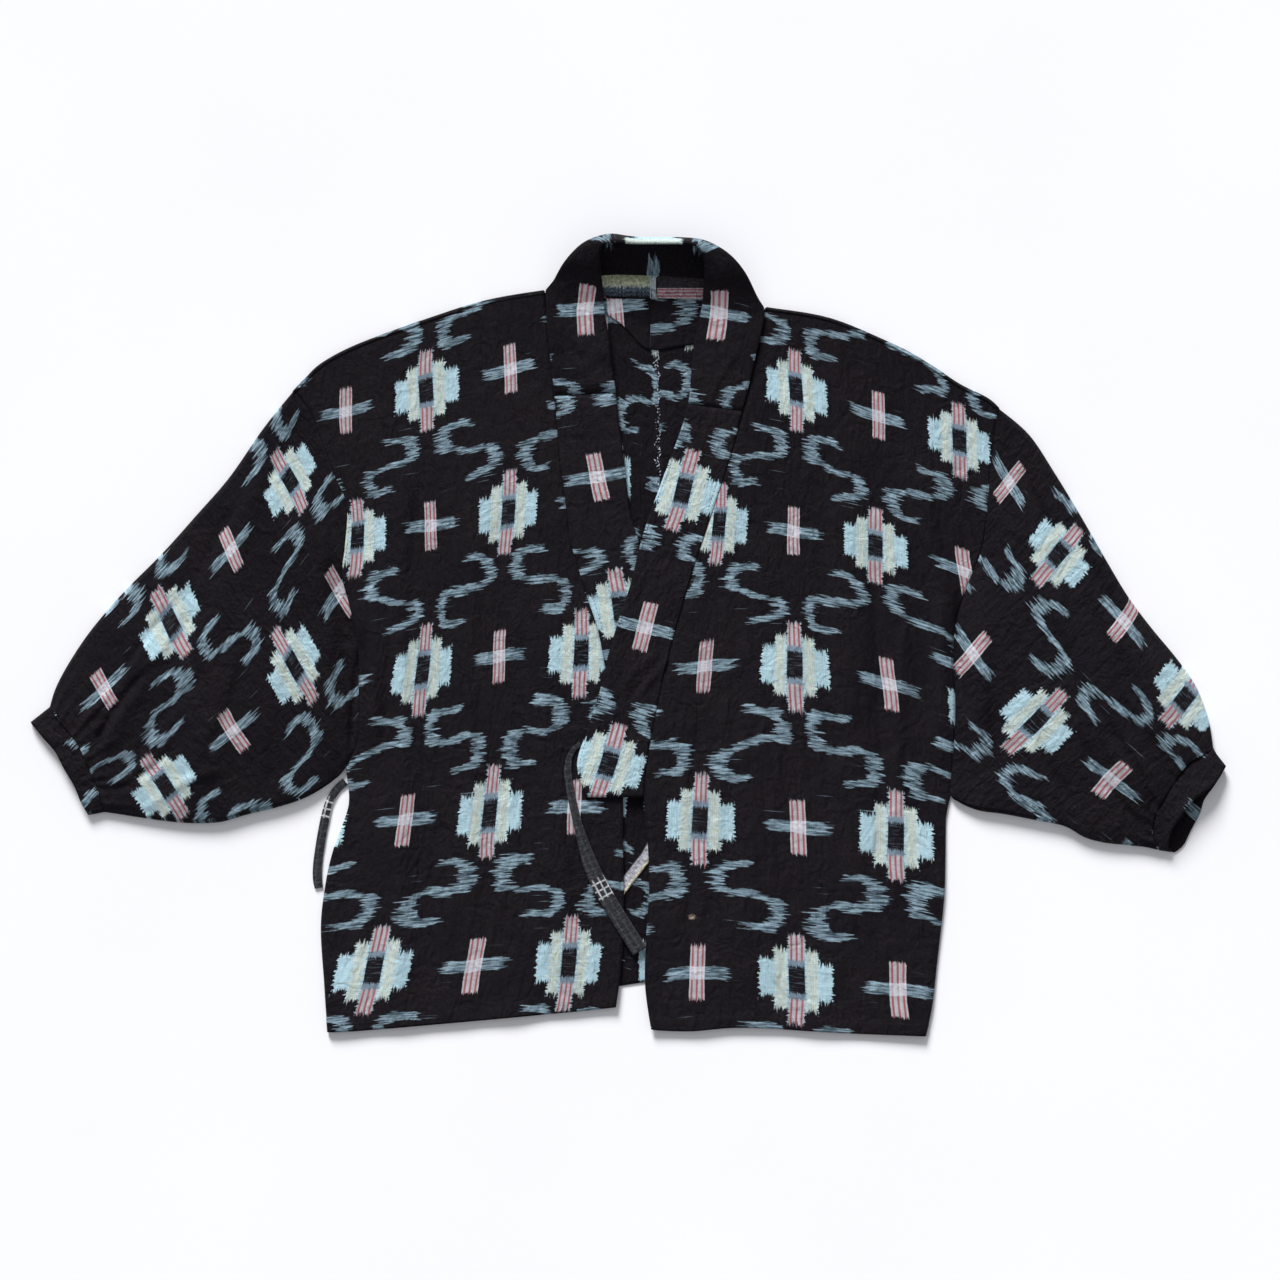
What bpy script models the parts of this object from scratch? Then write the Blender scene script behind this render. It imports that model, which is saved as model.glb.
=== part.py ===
"""A noragi work jacket laid flat on its back, front side up.

All places are measured on a cutting board in millimetres: x runs to the right and y runs
down towards the hem. place() turns a board place into metres, with +Y towards the collar.
Each piece of cloth is an open surface of its outer face, and Solidify gives it its wall.
"""
import math

import bmesh
import bpy
from mathutils import Vector

# The middle of the jacket on the board, which becomes the origin.
BOARD_MID_X = 627.8
BOARD_MID_Y = 636.0
MM = 0.001

# Cloth walls in millimetres. The collar band is folded double over its seam allowance, and
# the over-collar is folded round the band, so its wall is the band and two more layers.
BODY_WALL = 1.2
COLLAR_WALL = 2.0
OVER_COLLAR_WALL = 2.6
OVER_COLLAR_RISE = 0.4
CUFF_WALL = 1.6
TRIM_WALL = 1.0
TIE_WALL = 1.6

# Distances between pieces.
SEAM_GAP = 0.5
LAID_GAP = 0.4
TRIM_GAP = 0.3

# The height of the outer face of a front that lies on the back, with room for an inner tie.
FRONT_TOP = 4.1
SHOULDER_TOP = 6.4
COLLAR_TOP = 4.9
# The upper face of thin pieces that lie on the back, inside the jacket.
TRIM_TOP = BODY_WALL + TRIM_GAP + TRIM_WALL
# How far the right front is lifted where it laps over the left collar.
LAP_LIFT = 2.8
# The reach of the soft rise beside a folded edge.
EDGE_REACH = 28.0

# Plain colours of the solids: the dark cotton, then the scraps and the ties.
DARK = (0.013, 0.012, 0.015)
PALE_GREEN = (0.45, 0.52, 0.45)
DULL_RED = (0.3, 0.18, 0.19)
CHECK_GREY = (0.03, 0.03, 0.035)
PALE_GREY = (0.45, 0.45, 0.46)

# How many faces each piece has across.
FRONT_COLUMNS = 13
NECK_COLUMNS = 5
SLEEVE_TOP_COLUMNS = 32
SLEEVE_BACK_COLUMNS = 14
SLEEVE_ROWS = 15
CUFF_COLUMNS = 12
CUFF_ROWS = 2
COLLAR_COLUMNS = 6
OVER_COLLAR_ROWS = 30

# Gathers where a sleeve is drawn into its cuff, and how much of their height the seam keeps.
GATHERS = 8
GATHER_HEIGHT = 1.5
GATHER_REACH = 45.0
GATHER_AT_SEAM = 0.35
# Rows of a sleeve crowd towards its cuff by this power, and its crown is this full.
ROW_CROWDING = 1.25
CROWN_FULLNESS = 0.8
# Folds fade out over this share of a sleeve's width at each of its edges.
FOLD_FADE = 0.12
# The back and the upper layer part over this share of a sleeve's length.
EDGE_OPENING = 0.3

# One row for each section of the left body, from the shoulder down to the hem.
# outer_x, outer_y (armhole, then side), inner_x, inner_y (collar seam, then front edge)
LEFT_BODY = [
    (294, 391, 545, 290),
    (310, 412, 546.5, 316),
    (322, 443, 551.5, 368),
    (336, 478, 554.5, 396),
    (347, 506, 560.5, 465),
    (345, 547, 565.5, 503),
    (342, 575, 570.5, 541),
    (349, 603, 579.5, 572),
    (357, 640, 589, 602),
    (359, 690, 598, 630),
    (358, 738, 604.5, 663),
    (349, 766, 612, 705),
    (349, 805, 618, 750),
    (333, 852, 623, 797),
    (325, 888, 623, 845),
    (321, 930, 624, 900),
    (325, 985, 622, 960),
    (328, 1032, 616, 1007),
]
# The same for the right body.
RIGHT_BODY = [
    (998, 408, 765, 307),
    (994, 435, 760.5, 337),
    (990, 472, 750, 381),
    (987, 510, 742, 411),
    (982, 548, 734, 443),
    (968, 583, 724.5, 475),
    (956, 622, 713.5, 508),
    (953, 658, 693, 569),
    (955, 700, 684, 600),
    (954, 740, 666.5, 662),
    (951, 775, 652, 731),
    (949, 794, 646, 767),
    (946, 818, 644, 797),
    (945, 858, 648, 850),
    (943, 902, 649, 890),
    (938, 952, 646, 938),
    (932, 1002, 645, 985),
    (925, 1036, 651, 1029),
]
# The number of the section at the armpit, where the armhole ends and the side begins.
ARMPIT = 11

# How far each shoulder curves above the straight line between its ends.
# across (0 at the sleeve, 1 at the neck), rise
LEFT_SHOULDER = [(0, 0), (0.05, 8), (0.12, 17), (0.27, 21), (0.56, 18), (0.77, 13), (1, 0)]
RIGHT_SHOULDER = [(0, 0), (0.05, 5), (0.17, 7), (0.3, 14), (0.45, 18), (0.72, 17), (1, 0)]
# How far the front hems and the back hems hang below the line between their ends.
LEFT_HEM = [(0, 0), (0.08, 5), (0.95, 4.5), (1, 0)]
RIGHT_HEM = [(0, 0), (0.3, -1), (0.65, -4), (0.85, 1), (0.97, 1), (1, 0)]
BACK_HEM = [(0, 0), (0.3, 3), (0.7, 0), (1, 0)]

# The neck seam on the back, from the left neck point to the right one.
# x, y
NECK_SEAM = [
    (545, 290), (562, 285.5), (583, 280), (607, 276), (632, 276),
    (657, 277), (682, 278.5), (704, 280), (724, 285), (744, 294.5), (765, 307),
]
CENTRE_NECK = (657, 277)
CENTRE_HEM = (652, 981)
# The centre-back seam bows this far to the right, most of all at this share of its length.
CENTRE_BOW = 5
BOW_AT = 0.42

# Stations of the sleeves from the armhole to the cuff.
# upper_x, upper_y, lower_x, lower_y, edge_height, crown
LEFT_SLEEVE = [
    (293, 392, 345.5, 765, 6.4, 0),
    (264, 428, 334, 780, 7.5, 6),
    (230, 477, 307, 797, 8, 11),
    (197, 515, 278, 807, 8, 13),
    (163, 553, 249, 814, 8, 14),
    (131, 585, 220, 822, 8, 14),
    (108, 610, 190, 823, 7.5, 13),
    (87, 636, 162, 820.5, 7, 11),
    (68, 665, 138, 817, 6.5, 8),
    (56, 688, 119, 814, 6, 6),
    (50, 707, 105, 812, 6, 5),
]
RIGHT_SLEEVE = [
    (999, 409, 952.5, 793, 6.4, 0),
    (1029, 435, 957, 801, 7.5, 6),
    (1055, 474, 977, 810, 8, 11),
    (1081, 517, 1004, 814, 8, 13),
    (1104, 557, 1035, 820, 8, 14),
    (1128, 597, 1064, 826, 8, 14),
    (1152, 629, 1084, 837, 7.5, 13),
    (1176, 658, 1104, 842.5, 7, 12),
    (1196, 687, 1127, 845, 6.5, 10),
    (1208, 719, 1145, 847, 6, 8),
    (1213, 748, 1158, 850, 6, 6),
]
# Cuff lines from the upper tip to the lower one: the seam, then the mouth of the upper
# layer and of the layer below it.
# seam_x, seam_y, mouth_x, mouth_y, under_x, under_y
LEFT_CUFF = [
    (50, 707, 31, 722, 31, 722),
    (61, 722, 43, 737, 43, 737),
    (73, 736, 56, 752, 56, 752),
    (82, 751, 65, 769, 65, 769),
    (91, 771, 75, 786, 75, 786),
    (99, 790, 82, 803, 82, 803),
    (105, 812, 89, 815, 89, 815),
]
RIGHT_CUFF = [
    (1213, 748, 1226, 765, 1223, 772),
    (1200, 756, 1219, 776, 1214, 786),
    (1187, 764, 1209, 788, 1204, 800),
    (1174, 781, 1191, 801, 1200, 813),
    (1163, 798, 1179, 817, 1191, 830),
    (1154, 815, 1171, 830, 1184, 844),
    (1152, 834, 1168, 842, 1178, 850),
    (1158, 850, 1168, 851, 1173, 853),
]
LEFT_CUFF_CROWN = (5, 5)
RIGHT_CUFF_CROWN = (6, 12)
CUFF_EDGE = 6.0

# The collar band where it lies flat, upwards on the left side and down on the right.
# seam_x, seam_y, free_x, free_y, lift
LEFT_BAND = [
    (622, 790, 680, 790, 0),
    (618, 750, 674, 745, 0),
    (612, 705, 668, 700, 0),
    (604.5, 663, 661, 655, 0),
    (598, 630, 654, 616, 0),
    (589, 602, 647, 578, 0),
    (579.5, 572, 640, 546, 0),
    (570.5, 541, 631, 516, 0),
    (565.5, 503, 627, 487, 0),
    (560.5, 465, 624, 458, 0),
    (557.5, 430, 620, 430, 0.3),
    (554.5, 396, 616, 393, 0.8),
    (551.5, 368, 612, 365, 1.6),
    (548.5, 342, 609, 338, 2.6),
    (546.5, 316, 605, 314, 3.6),
    (546, 301, 604, 300, 4.3),
]
RIGHT_BAND = [
    (764, 318, 702, 306, 4.3),
    (760.5, 337, 697, 328, 3.4),
    (755.6, 356, 693, 350, 2.4),
    (750, 381, 691, 376, 1.5),
    (742, 411, 688, 404, 0.8),
    (734, 443, 680, 432, 0.3),
    (724.5, 475, 668, 464, 0),
    (713.5, 508, 656, 497, 0),
    (703.5, 538, 647, 522, 0),
    (693, 569, 639, 549, 0),
    (684, 600, 630, 586, 0),
    (675, 631, 618, 622, 0),
    (666.5, 662, 608, 656, 0),
    (659, 696, 600, 690, 0),
    (652, 731, 588, 728, 0),
    (646, 767, 577, 764, 0),
    (643.5, 797, 586, 797, 0),
]
# The stretch round the back of the neck, where the band stands and leans away.
# seam_x, seam_y, seam_z, middle_x, middle_y, middle_z, free_x, free_y, free_z
NECK_BAND = [
    (546.5, 290, 8.8, 569, 279, 17, 602.5, 285, 14),
    (555, 286, 7.4, 568, 264, 25, 601, 269, 22),
    (569, 282, 6, 579, 251, 29, 600, 256, 29),
    (587, 278, 5, 593, 242, 31, 603, 247, 35),
    (609, 275, 4.6, 611, 237, 31, 614, 244, 39),
    (632, 275, 4.6, 632, 239, 31, 632, 245, 41),
    (657, 276, 4.6, 657, 240, 31, 657, 245, 41),
    (682, 277.5, 4.6, 681, 240, 31, 680, 245, 40),
    (703, 279, 4.8, 700, 242, 30, 694, 247, 38),
    (722, 283.5, 5.4, 716, 249, 30, 701, 255, 34),
    (740, 291, 6.2, 731, 260, 29, 704, 266, 28),
    (754, 299, 7.4, 742, 275, 25, 704, 279, 21),
    (763, 307, 8.8, 741, 291, 17, 703, 292, 14),
]
# The over-collar runs between these stations of the whole band.
OVER_FIRST = 11
OVER_LAST = 33

# Inner pieces that lie on the back, inside the neck.
# upper_x, upper_y, lower_x, lower_y
NECK_FACING = [
    (590, 298, 590, 309),
    (607, 298.5, 607, 315),
    (621, 299, 621, 324),
    (631, 299, 631, 334),
    (645, 299.3, 645, 348),
    (660, 299.6, 660, 350),
    (676, 300, 676, 347),
    (692, 300.5, 692, 345),
    (714, 301, 714, 343),
]
LEFT_STRIP = [(596, 279, 598, 296), (612, 277.5, 613, 296.8), (656, 278.5, 656, 298.3)]
RIGHT_STRIP = [(657, 278.5, 657, 298.3), (682, 280.5, 682, 299), (712, 283.5, 710, 300)]

# Ties. x, y, width
OUTER_TIE = [
    (580.5, 743.5, 5), (574, 749, 5), (569.5, 758, 6), (568, 771, 7), (570, 787, 8),
    (573, 803, 8), (578.5, 826, 9), (585, 848, 12), (592.5, 869, 15), (602, 889, 16),
    (613, 908, 16), (626, 929, 16), (640, 951, 16),
]
SIDE_TIE = [
    (345.4, 781.6, 8), (336.5, 790, 8), (330, 801, 8), (326, 815, 9), (322.5, 832, 9),
    (319.5, 850, 9), (317.5, 867, 9), (317.5, 879, 9), (318.8, 888, 8),
]
INNER_TIE = [
    (663, 783, 12), (664, 800, 12), (659, 828, 12), (648, 853, 12), (636, 869, 12),
    (623, 886, 12), (611, 902, 12),
]

# The largest folds in the upper layer, each a soft ridge along a line.
# start_x, start_y, end_x, end_y, half_width, height
FOLDS = [
    (404, 470, 398, 990, 15, 2.6),
    (472, 520, 468, 930, 13, 1.5),
    (540, 600, 556, 980, 16, 1.4),
    (374, 585, 372, 745, 13, 4.2),
    (318, 520, 330, 715, 13, 3.4),
    (262, 470, 205, 660, 17, 2.6),
    (236, 640, 196, 790, 15, 2.2),
    (149, 662, 100, 748, 14, 3.4),
    (915, 490, 944, 576, 13, 3.4),
    (944, 580, 942, 740, 12, 3.2),
    (985, 590, 976, 740, 13, 3.0),
    (1015, 500, 1062, 660, 17, 2.4),
    (1108, 728, 1150, 806, 13, 3.4),
    (1130, 640, 1172, 735, 15, 2.4),
    (845, 420, 858, 900, 18, 1.6),
    (760, 560, 742, 980, 17, 1.4),
]
FOLD_END = 45.0


def place(x, y, z):
    """A board place in millimetres as a point in metres."""
    return Vector(((x - BOARD_MID_X) * MM, (BOARD_MID_Y - y) * MM, z * MM))


def mix(a, b, t):
    """The row of numbers that lies the share t of the way from a to b."""
    return tuple(p + (q - p) * t for p, q in zip(a, b))


def soft_step(low, high, value):
    """0 below low, 1 above high, and a smooth slope between."""
    t = min(1.0, max(0.0, (value - low) / (high - low)))
    return t * t * (3 - 2 * t)


def look_up(table, at):
    """The second column of a table at a value of its first column."""
    for (a, p), (b, q) in zip(table, table[1:]):
        if at <= b:
            return p + (q - p) * (at - a) / (b - a)
    return table[-1][1]


def curve_at(rows, t):
    """A smooth curve through the rows of a table, at t from 0 to 1."""
    last = len(rows) - 1
    place_on = min(max(t, 0.0), 1.0) * last
    i = min(int(place_on), last - 1)
    f = place_on - i
    a, b, c, d = rows[max(i - 1, 0)], rows[i], rows[i + 1], rows[min(i + 2, last)]
    return tuple(
        q + 0.5 * f * (r - p + f * (2 * p - 5 * q + 4 * r - s + f * (3 * (q - r) + s - p)))
        for p, q, r, s in zip(a, b, c, d)
    )


def along(points, count):
    """Points on a line, with every given point kept and more of them on its longer steps."""
    steps = [1] * (len(points) - 1)
    lengths = [math.dist(a[:2], b[:2]) for a, b in zip(points, points[1:])]
    while sum(steps) < count:
        longest = max(range(len(steps)), key=lambda i: lengths[i] / steps[i])
        steps[longest] += 1
    result = [points[0]]
    for a, b, n in zip(points, points[1:], steps):
        result += [mix(a, b, (k + 1) / n) for k in range(n)]
    return result


def fold_relief(x, y):
    """How far the largest folds raise the upper layer at a board place."""
    height = 0.0
    for x0, y0, x1, y1, width, rise in FOLDS:
        length = math.hypot(x1 - x0, y1 - y0)
        ahead = ((x - x0) * (x1 - x0) + (y - y0) * (y1 - y0)) / length
        aside = ((x - x0) * (y1 - y0) - (y - y0) * (x1 - x0)) / length
        ends = soft_step(-FOLD_END, FOLD_END, ahead) * soft_step(-FOLD_END, FOLD_END, length - ahead)
        height += rise * ends * math.exp(-((aside / width) ** 2))
    return height


def lap(x, y):
    """How far the right front and its collar are lifted over the left collar."""
    beside = 1 - soft_step(690, 745, x)
    down = soft_step(440, 532, y) * (1 - soft_step(800, 865, y))
    return LAP_LIFT * beside * down


def shares_along(points):
    """How far along a line each of its points is, from 0 to 1."""
    lengths = [0.0]
    for a, b in zip(points, points[1:]):
        lengths.append(lengths[-1] + math.dist(a, b))
    return [length / lengths[-1] for length in lengths]


def fill(top, bottom, left, right, shares=None):
    """Rows of board points between four lines that meet at their ends.

    shares says how far across each column lies; without it the columns are even.
    """
    columns, rows = len(top) - 1, len(left) - 1
    shares = shares or [i / columns for i in range(columns + 1)]
    grid = []
    for j in range(rows + 1):
        v = j / rows
        line = []
        for i, u in enumerate(shares):
            x_y = []
            for axis in (0, 1):
                ruled = (1 - v) * top[i][axis] + v * bottom[i][axis]
                ruled += (1 - u) * left[j][axis] + u * right[j][axis]
                ruled -= (1 - u) * (1 - v) * top[0][axis] + u * (1 - v) * top[-1][axis]
                ruled -= (1 - u) * v * bottom[0][axis] + u * v * bottom[-1][axis]
                x_y.append(ruled)
            line.append(tuple(x_y))
        grid.append(line)
    return grid


def half_round(upper, lower, out_x, out_y):
    """The three points of a folded edge between an upper point and the one below it."""
    radius = (upper[2] - lower[2]) / 2
    middle = mix(upper, lower, 0.5)
    length = math.hypot(out_x, out_y)
    points = []
    for angle in (45, 0, -45):
        reach = radius * math.cos(math.radians(angle)) / length
        rise = radius * math.sin(math.radians(angle))
        points.append((middle[0] + out_x * reach, middle[1] + out_y * reach, middle[2] + rise))
    return points


def material_for(name, colour, roughness):
    """A plain Principled material for one piece."""
    material = bpy.data.materials.new(name)
    material.use_nodes = True
    shader = material.node_tree.nodes["Principled BSDF"]
    shader.inputs["Base Color"].default_value = (*colour, 1)
    shader.inputs["Roughness"].default_value = roughness
    return material


def sew(name, grids, wall, colour):
    """Make a piece from grids of board points and give it its wall.

    The first grid begins on top, so its first face is made to look up.
    """
    shape = bmesh.new()
    for grid in grids:
        made = [[shape.verts.new(place(*point)) for point in row] for row in grid]
        for row, below in zip(made, made[1:]):
            for a, b, c, d in zip(row, row[1:], below[1:], below):
                shape.faces.new((a, b, c, d))
    bmesh.ops.remove_doubles(shape, verts=shape.verts, dist=0.00002)
    bmesh.ops.recalc_face_normals(shape, faces=shape.faces)
    shape.faces.ensure_lookup_table()
    first = shape.faces[0]
    first.normal_update()
    if first.normal.z < 0:
        bmesh.ops.reverse_faces(shape, faces=shape.faces)
    for face in shape.faces:
        face.smooth = True
    mesh = bpy.data.meshes.new(name)
    shape.to_mesh(mesh)
    shape.free()
    piece = bpy.data.objects.new(name, mesh)
    JACKET.objects.link(piece)
    mesh.materials.append(material_for(name + "_cloth", colour, 0.9))
    solidify = piece.modifiers.new("Wall", "SOLIDIFY")
    solidify.thickness = wall * MM
    solidify.offset = -1
    solidify.use_even_offset = False


def front_height(x, y, from_shoulder, lifted):
    """The outer face of a front, higher beside the folded shoulder."""
    near_shoulder = math.exp(-((from_shoulder / EDGE_REACH) ** 2))
    height = FRONT_TOP + (SHOULDER_TOP - FRONT_TOP) * near_shoulder
    return height + fold_relief(x, y) * (1 - 0.6 * near_shoulder) + (lap(x, y) if lifted else 0)


def front_of(outer, inner, shoulder, hem, lifted):
    """The points of a front between its outer line and its inner line."""
    top, bottom = [], []
    for i in range(FRONT_COLUMNS + 1):
        u = i / FRONT_COLUMNS
        x, y = mix(outer[0], inner[0], u)
        top.append((x, y - look_up(shoulder, u)))
        x, y = mix(outer[-1], inner[-1], u)
        bottom.append((x, y + look_up(hem, u)))
    plan = fill(top, bottom, outer, inner)
    front = []
    for line in plan:
        row = []
        for (x, y), start in zip(line, plan[0]):
            row.append((x, y, front_height(x, y, math.dist((x, y), start), lifted)))
        front.append(row)
    return front


def back_of(front, outer, neck, side):
    """The points of a back: the front's columns as far as the neck point, then more."""
    centre = []
    for j in range(len(outer)):
        t = j / (len(outer) - 1)
        x, y = mix(CENTRE_NECK, CENTRE_HEM, t)
        bow = CENTRE_BOW * math.sin(math.pi * min(1.0, t * 0.5 / BOW_AT))
        centre.append((x + bow + side * SEAM_GAP / 2, y + SEAM_GAP * (j == 0)))
    top = [(x, y) for x, y, _ in front[0]]
    top += [(x, y + SEAM_GAP) for x, y in along(neck, NECK_COLUMNS)[1:]]
    top[-1] = centre[0]
    shares = shares_along(top)
    bottom = []
    for u in shares:
        x, y = mix(outer[-1], centre[-1], u)
        bottom.append((x, y + look_up(BACK_HEM, u)))
    plan = fill(top, bottom, outer, centre, shares)
    return [[(x, y, 0.0) for x, y in line] for line in plan]


def body(name, sections, shoulder, hem, neck, side):
    """One length of cloth: front, folded shoulder, back, and the folded side seam.

    side is -1 for the left body and 1 for the right body.
    """
    # The folded side stands out to the outline, so the panels stop short of it.
    outer = []
    for j, (x, y, _, _) in enumerate(sections):
        outer.append((x - side * (SEAM_GAP / 2 if j <= ARMPIT else FRONT_TOP / 2), y))
    inner = [(x + side * SEAM_GAP, y) for _, _, x, y in sections]
    outer[0] = (outer[0][0], outer[0][1] + SHOULDER_TOP / 2)
    inner[0] = (inner[0][0], inner[0][1] + SHOULDER_TOP / 2)
    front = front_of(outer, inner, shoulder, hem, side > 0)
    back = back_of(front, outer, neck, side)

    out_x, out_y = side * (outer[0][1] - inner[0][1]), -abs(inner[0][0] - outer[0][0])
    bends = [half_round(a, b, out_x, out_y) for a, b in zip(front[0], back[0])]
    shoulder_fold = [front[0], *zip(*bends), back[0][: FRONT_COLUMNS + 1]]
    side_fold = []
    for a, b in zip(front[ARMPIT:], back[ARMPIT:]):
        side_fold.append([a[0], *half_round(a[0], b[0], side, 0), b[0]])
    sew(name, [front, shoulder_fold, back, side_fold], BODY_WALL, DARK)


def tube(name, top_plan, under_plan, height, wall, colour):
    """A flattened tube from the plans of its upper layer and its lower layer."""
    grid = []
    for j, (line, under) in enumerate(zip(top_plan, under_plan)):
        last = len(line) - 1
        upper = [(x, y, height(j, i / last, x, y)) for i, (x, y) in enumerate(line)]
        lower = [(x, y, 0.0) for x, y in under]
        out_x, out_y = upper[-1][0] - upper[0][0], upper[-1][1] - upper[0][1]
        row = list(upper)
        row += half_round(upper[-1], lower[-1], out_x, out_y)
        row += lower[::-1]
        row += half_round(upper[0], lower[0], -out_x, -out_y)[::-1]
        row.append(upper[0])
        grid.append(row)
    sew(name, [grid], wall, colour)


def pull_in(left, right, left_radii, right_radii):
    """Move both ends of each section towards each other by the radius of their edge."""
    new_left, new_right = [], []
    for a, b, at_left, at_right in zip(left, right, left_radii, right_radii):
        new_left.append(mix(a, b, at_left / math.dist(a, b)))
        new_right.append(mix(b, a, at_right / math.dist(a, b)))
    return new_left, new_right


def sleeve(name, stations, sections, cuff_table, side):
    """A gathered sleeve: one flattened tube from the armhole to the cuff seam."""
    steps = [1 - (1 - k / SLEEVE_ROWS) ** ROW_CROWDING for k in range(SLEEVE_ROWS + 1)]
    table = [curve_at(stations, t) for t in steps]
    left = [(row[0], row[1]) for row in table]
    right = [(row[2], row[3]) for row in table]
    edges = [row[4] for row in table]
    crowns = [row[5] for row in table]
    lower_edges = []
    for edge, t in zip(edges, steps):
        lower_edges.append(FRONT_TOP + (edge - FRONT_TOP) * soft_step(0, EDGE_OPENING, t))
    upper_radii = [edge / 2 for edge in edges]
    lower_radii = [edge / 2 for edge in lower_edges]
    left, right = pull_in(left, right, upper_radii, lower_radii)
    armhole = [(x + side * SEAM_GAP / 2, y) for x, y, _, _ in sections[: ARMPIT + 1]]
    armhole[0], armhole[-1] = left[0], right[0]
    seam = [(x, y) for x, y, _, _, _, _ in cuff_table]
    seam[0], seam[-1] = left[-1], right[-1]
    plans = []
    for columns in (SLEEVE_TOP_COLUMNS, SLEEVE_BACK_COLUMNS):
        plans.append(fill(along(armhole, columns), along(seam, columns), left, right))

    def height(j, u, x, y):
        width = math.dist(left[j], right[j])
        near_upper = math.exp(-((u * width / EDGE_REACH) ** 2))
        near_lower = math.exp(-(((1 - u) * width / EDGE_REACH) ** 2))
        across = max(0.0, math.sin(math.pi * u))
        z = FRONT_TOP + crowns[j] * across ** CROWN_FULLNESS
        z += (edges[j] - FRONT_TOP) * near_upper + (lower_edges[j] - FRONT_TOP) * near_lower
        z += fold_relief(x, y) * soft_step(0, FOLD_FADE, u) * soft_step(0, FOLD_FADE, 1 - u)
        drawn = math.exp(-((math.dist(left[j], left[-1]) / GATHER_REACH) ** 2))
        if j == SLEEVE_ROWS:
            drawn *= GATHER_AT_SEAM
        wave = (1 + math.cos(2 * math.pi * GATHERS * u)) / 2
        return z + GATHER_HEIGHT * drawn * across * wave

    tube(name, plans[0], plans[1], height, BODY_WALL, DARK)


def cuff(name, table, crown):
    """A narrow cuff band, open at its mouth."""
    seam = [(a, b) for a, b, _, _, _, _ in table]
    mouth = [(c, d) for _, _, c, d, _, _ in table]
    under = [(e, f) for _, _, _, _, e, f in table]
    plans = []
    for edge_line in (mouth, under):
        line_ends = [(seam[0], seam[-1]), (edge_line[0], edge_line[-1])]
        radii = [CUFF_EDGE / 2] * 2
        lefts, rights = pull_in([e[0] for e in line_ends], [e[1] for e in line_ends], radii, radii)
        near = along([lefts[0], *seam[1:-1], rights[0]], CUFF_COLUMNS)
        far = along([lefts[1], *edge_line[1:-1], rights[1]], CUFF_COLUMNS)
        plan = []
        for j in range(CUFF_ROWS + 1):
            line = []
            for a, b in zip(near, far):
                start = SEAM_GAP / math.dist(a, b)
                line.append(mix(a, b, start + (1 - start) * j / CUFF_ROWS))
            plan.append(line)
        plans.append(plan)

    def height(j, u, x, y):
        t = j / CUFF_ROWS
        width = math.dist(plans[0][j][0], plans[0][j][-1])
        near_edges = math.exp(-((u * width / EDGE_REACH) ** 2))
        near_edges += math.exp(-(((1 - u) * width / EDGE_REACH) ** 2))
        rise = crown[0] + (crown[1] - crown[0]) * t
        base = FRONT_TOP + (CUFF_EDGE - FRONT_TOP) * near_edges
        return base + rise * max(0.0, math.sin(math.pi * u)) ** CROWN_FULLNESS

    tube(name, plans[0], plans[1], height, CUFF_WALL, DARK)


def band_points():
    """The upper face of the whole collar band, a row for each station."""
    rows = []

    def flat(station, lifted):
        seam_x, seam_y, free_x, free_y, lift = station
        row = []
        for i in range(COLLAR_COLUMNS + 1):
            x, y = mix((seam_x, seam_y), (free_x, free_y), i / COLLAR_COLUMNS)
            z = COLLAR_TOP + lift + fold_relief(x, y) + (lap(x, y) if lifted else 0)
            row.append(Vector((x, y, z)))
        return row

    for station in LEFT_BAND:
        rows.append(flat(station, False))
    for station in NECK_BAND:
        seam, middle, free = (Vector(station[k : k + 3]) for k in (0, 3, 6))
        # The share of the way at which the curve passes its middle point.
        share = (middle - seam).length / ((middle - seam).length + (free - middle).length)
        pull = middle - seam * (1 - share) ** 2 - free * share ** 2
        pull /= 2 * share * (1 - share)
        row = []
        for i in range(COLLAR_COLUMNS + 1):
            t = i / COLLAR_COLUMNS
            row.append(seam * (1 - t) ** 2 + pull * 2 * t * (1 - t) + free * t * t)
        rows.append(row)
    for station in RIGHT_BAND:
        rows.append(flat(station, True))
    return rows


def band_normals(rows):
    """The direction out of the upper face at each point of the band.

    The board's y runs down, so the cross product of the two directions is turned over.
    """
    normals = []
    for j, row in enumerate(rows):
        before, after = rows[max(j - 1, 0)], rows[min(j + 1, len(rows) - 1)]
        line = []
        for i in range(len(row)):
            across = row[min(i + 1, len(row) - 1)] - row[max(i - 1, 0)]
            ahead = after[i] - before[i]
            line.append(ahead.cross(across).normalized())
        normals.append(line)
    return normals


def collar_end(name, rows):
    """The part of the collar band that shows below one end of the over-collar."""
    sew(name, [rows], COLLAR_WALL, DARK)


def over_collar(rows):
    """The strip folded round the band at the neck, a little thicker than the band."""
    raised = []
    for row, line in zip(rows, band_normals(rows)):
        raised.append([value for p, n in zip(row, line) for value in p + n * OVER_COLLAR_RISE])
    steps = len(rows) - 1
    ends = TRIM_GAP / (rows[1][0] - rows[0][0]).length / steps
    grid = []
    for k in range(OVER_COLLAR_ROWS + 1):
        numbers = curve_at(raised, ends + (1 - 2 * ends) * k / OVER_COLLAR_ROWS)
        grid.append([numbers[i : i + 3] for i in range(0, len(numbers), 3)])
    sew("over_collar", [grid], OVER_COLLAR_WALL, DARK)


def laid(name, table, rows, colour):
    """A flat strip that lies inside the jacket on its back."""
    grid = []
    for j in range(rows + 1):
        line = []
        for section in table:
            line.append((*mix(section[:2], section[2:], j / rows), TRIM_TOP))
        grid.append(line)
    sew(name, [grid], TRIM_WALL, colour)


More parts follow.
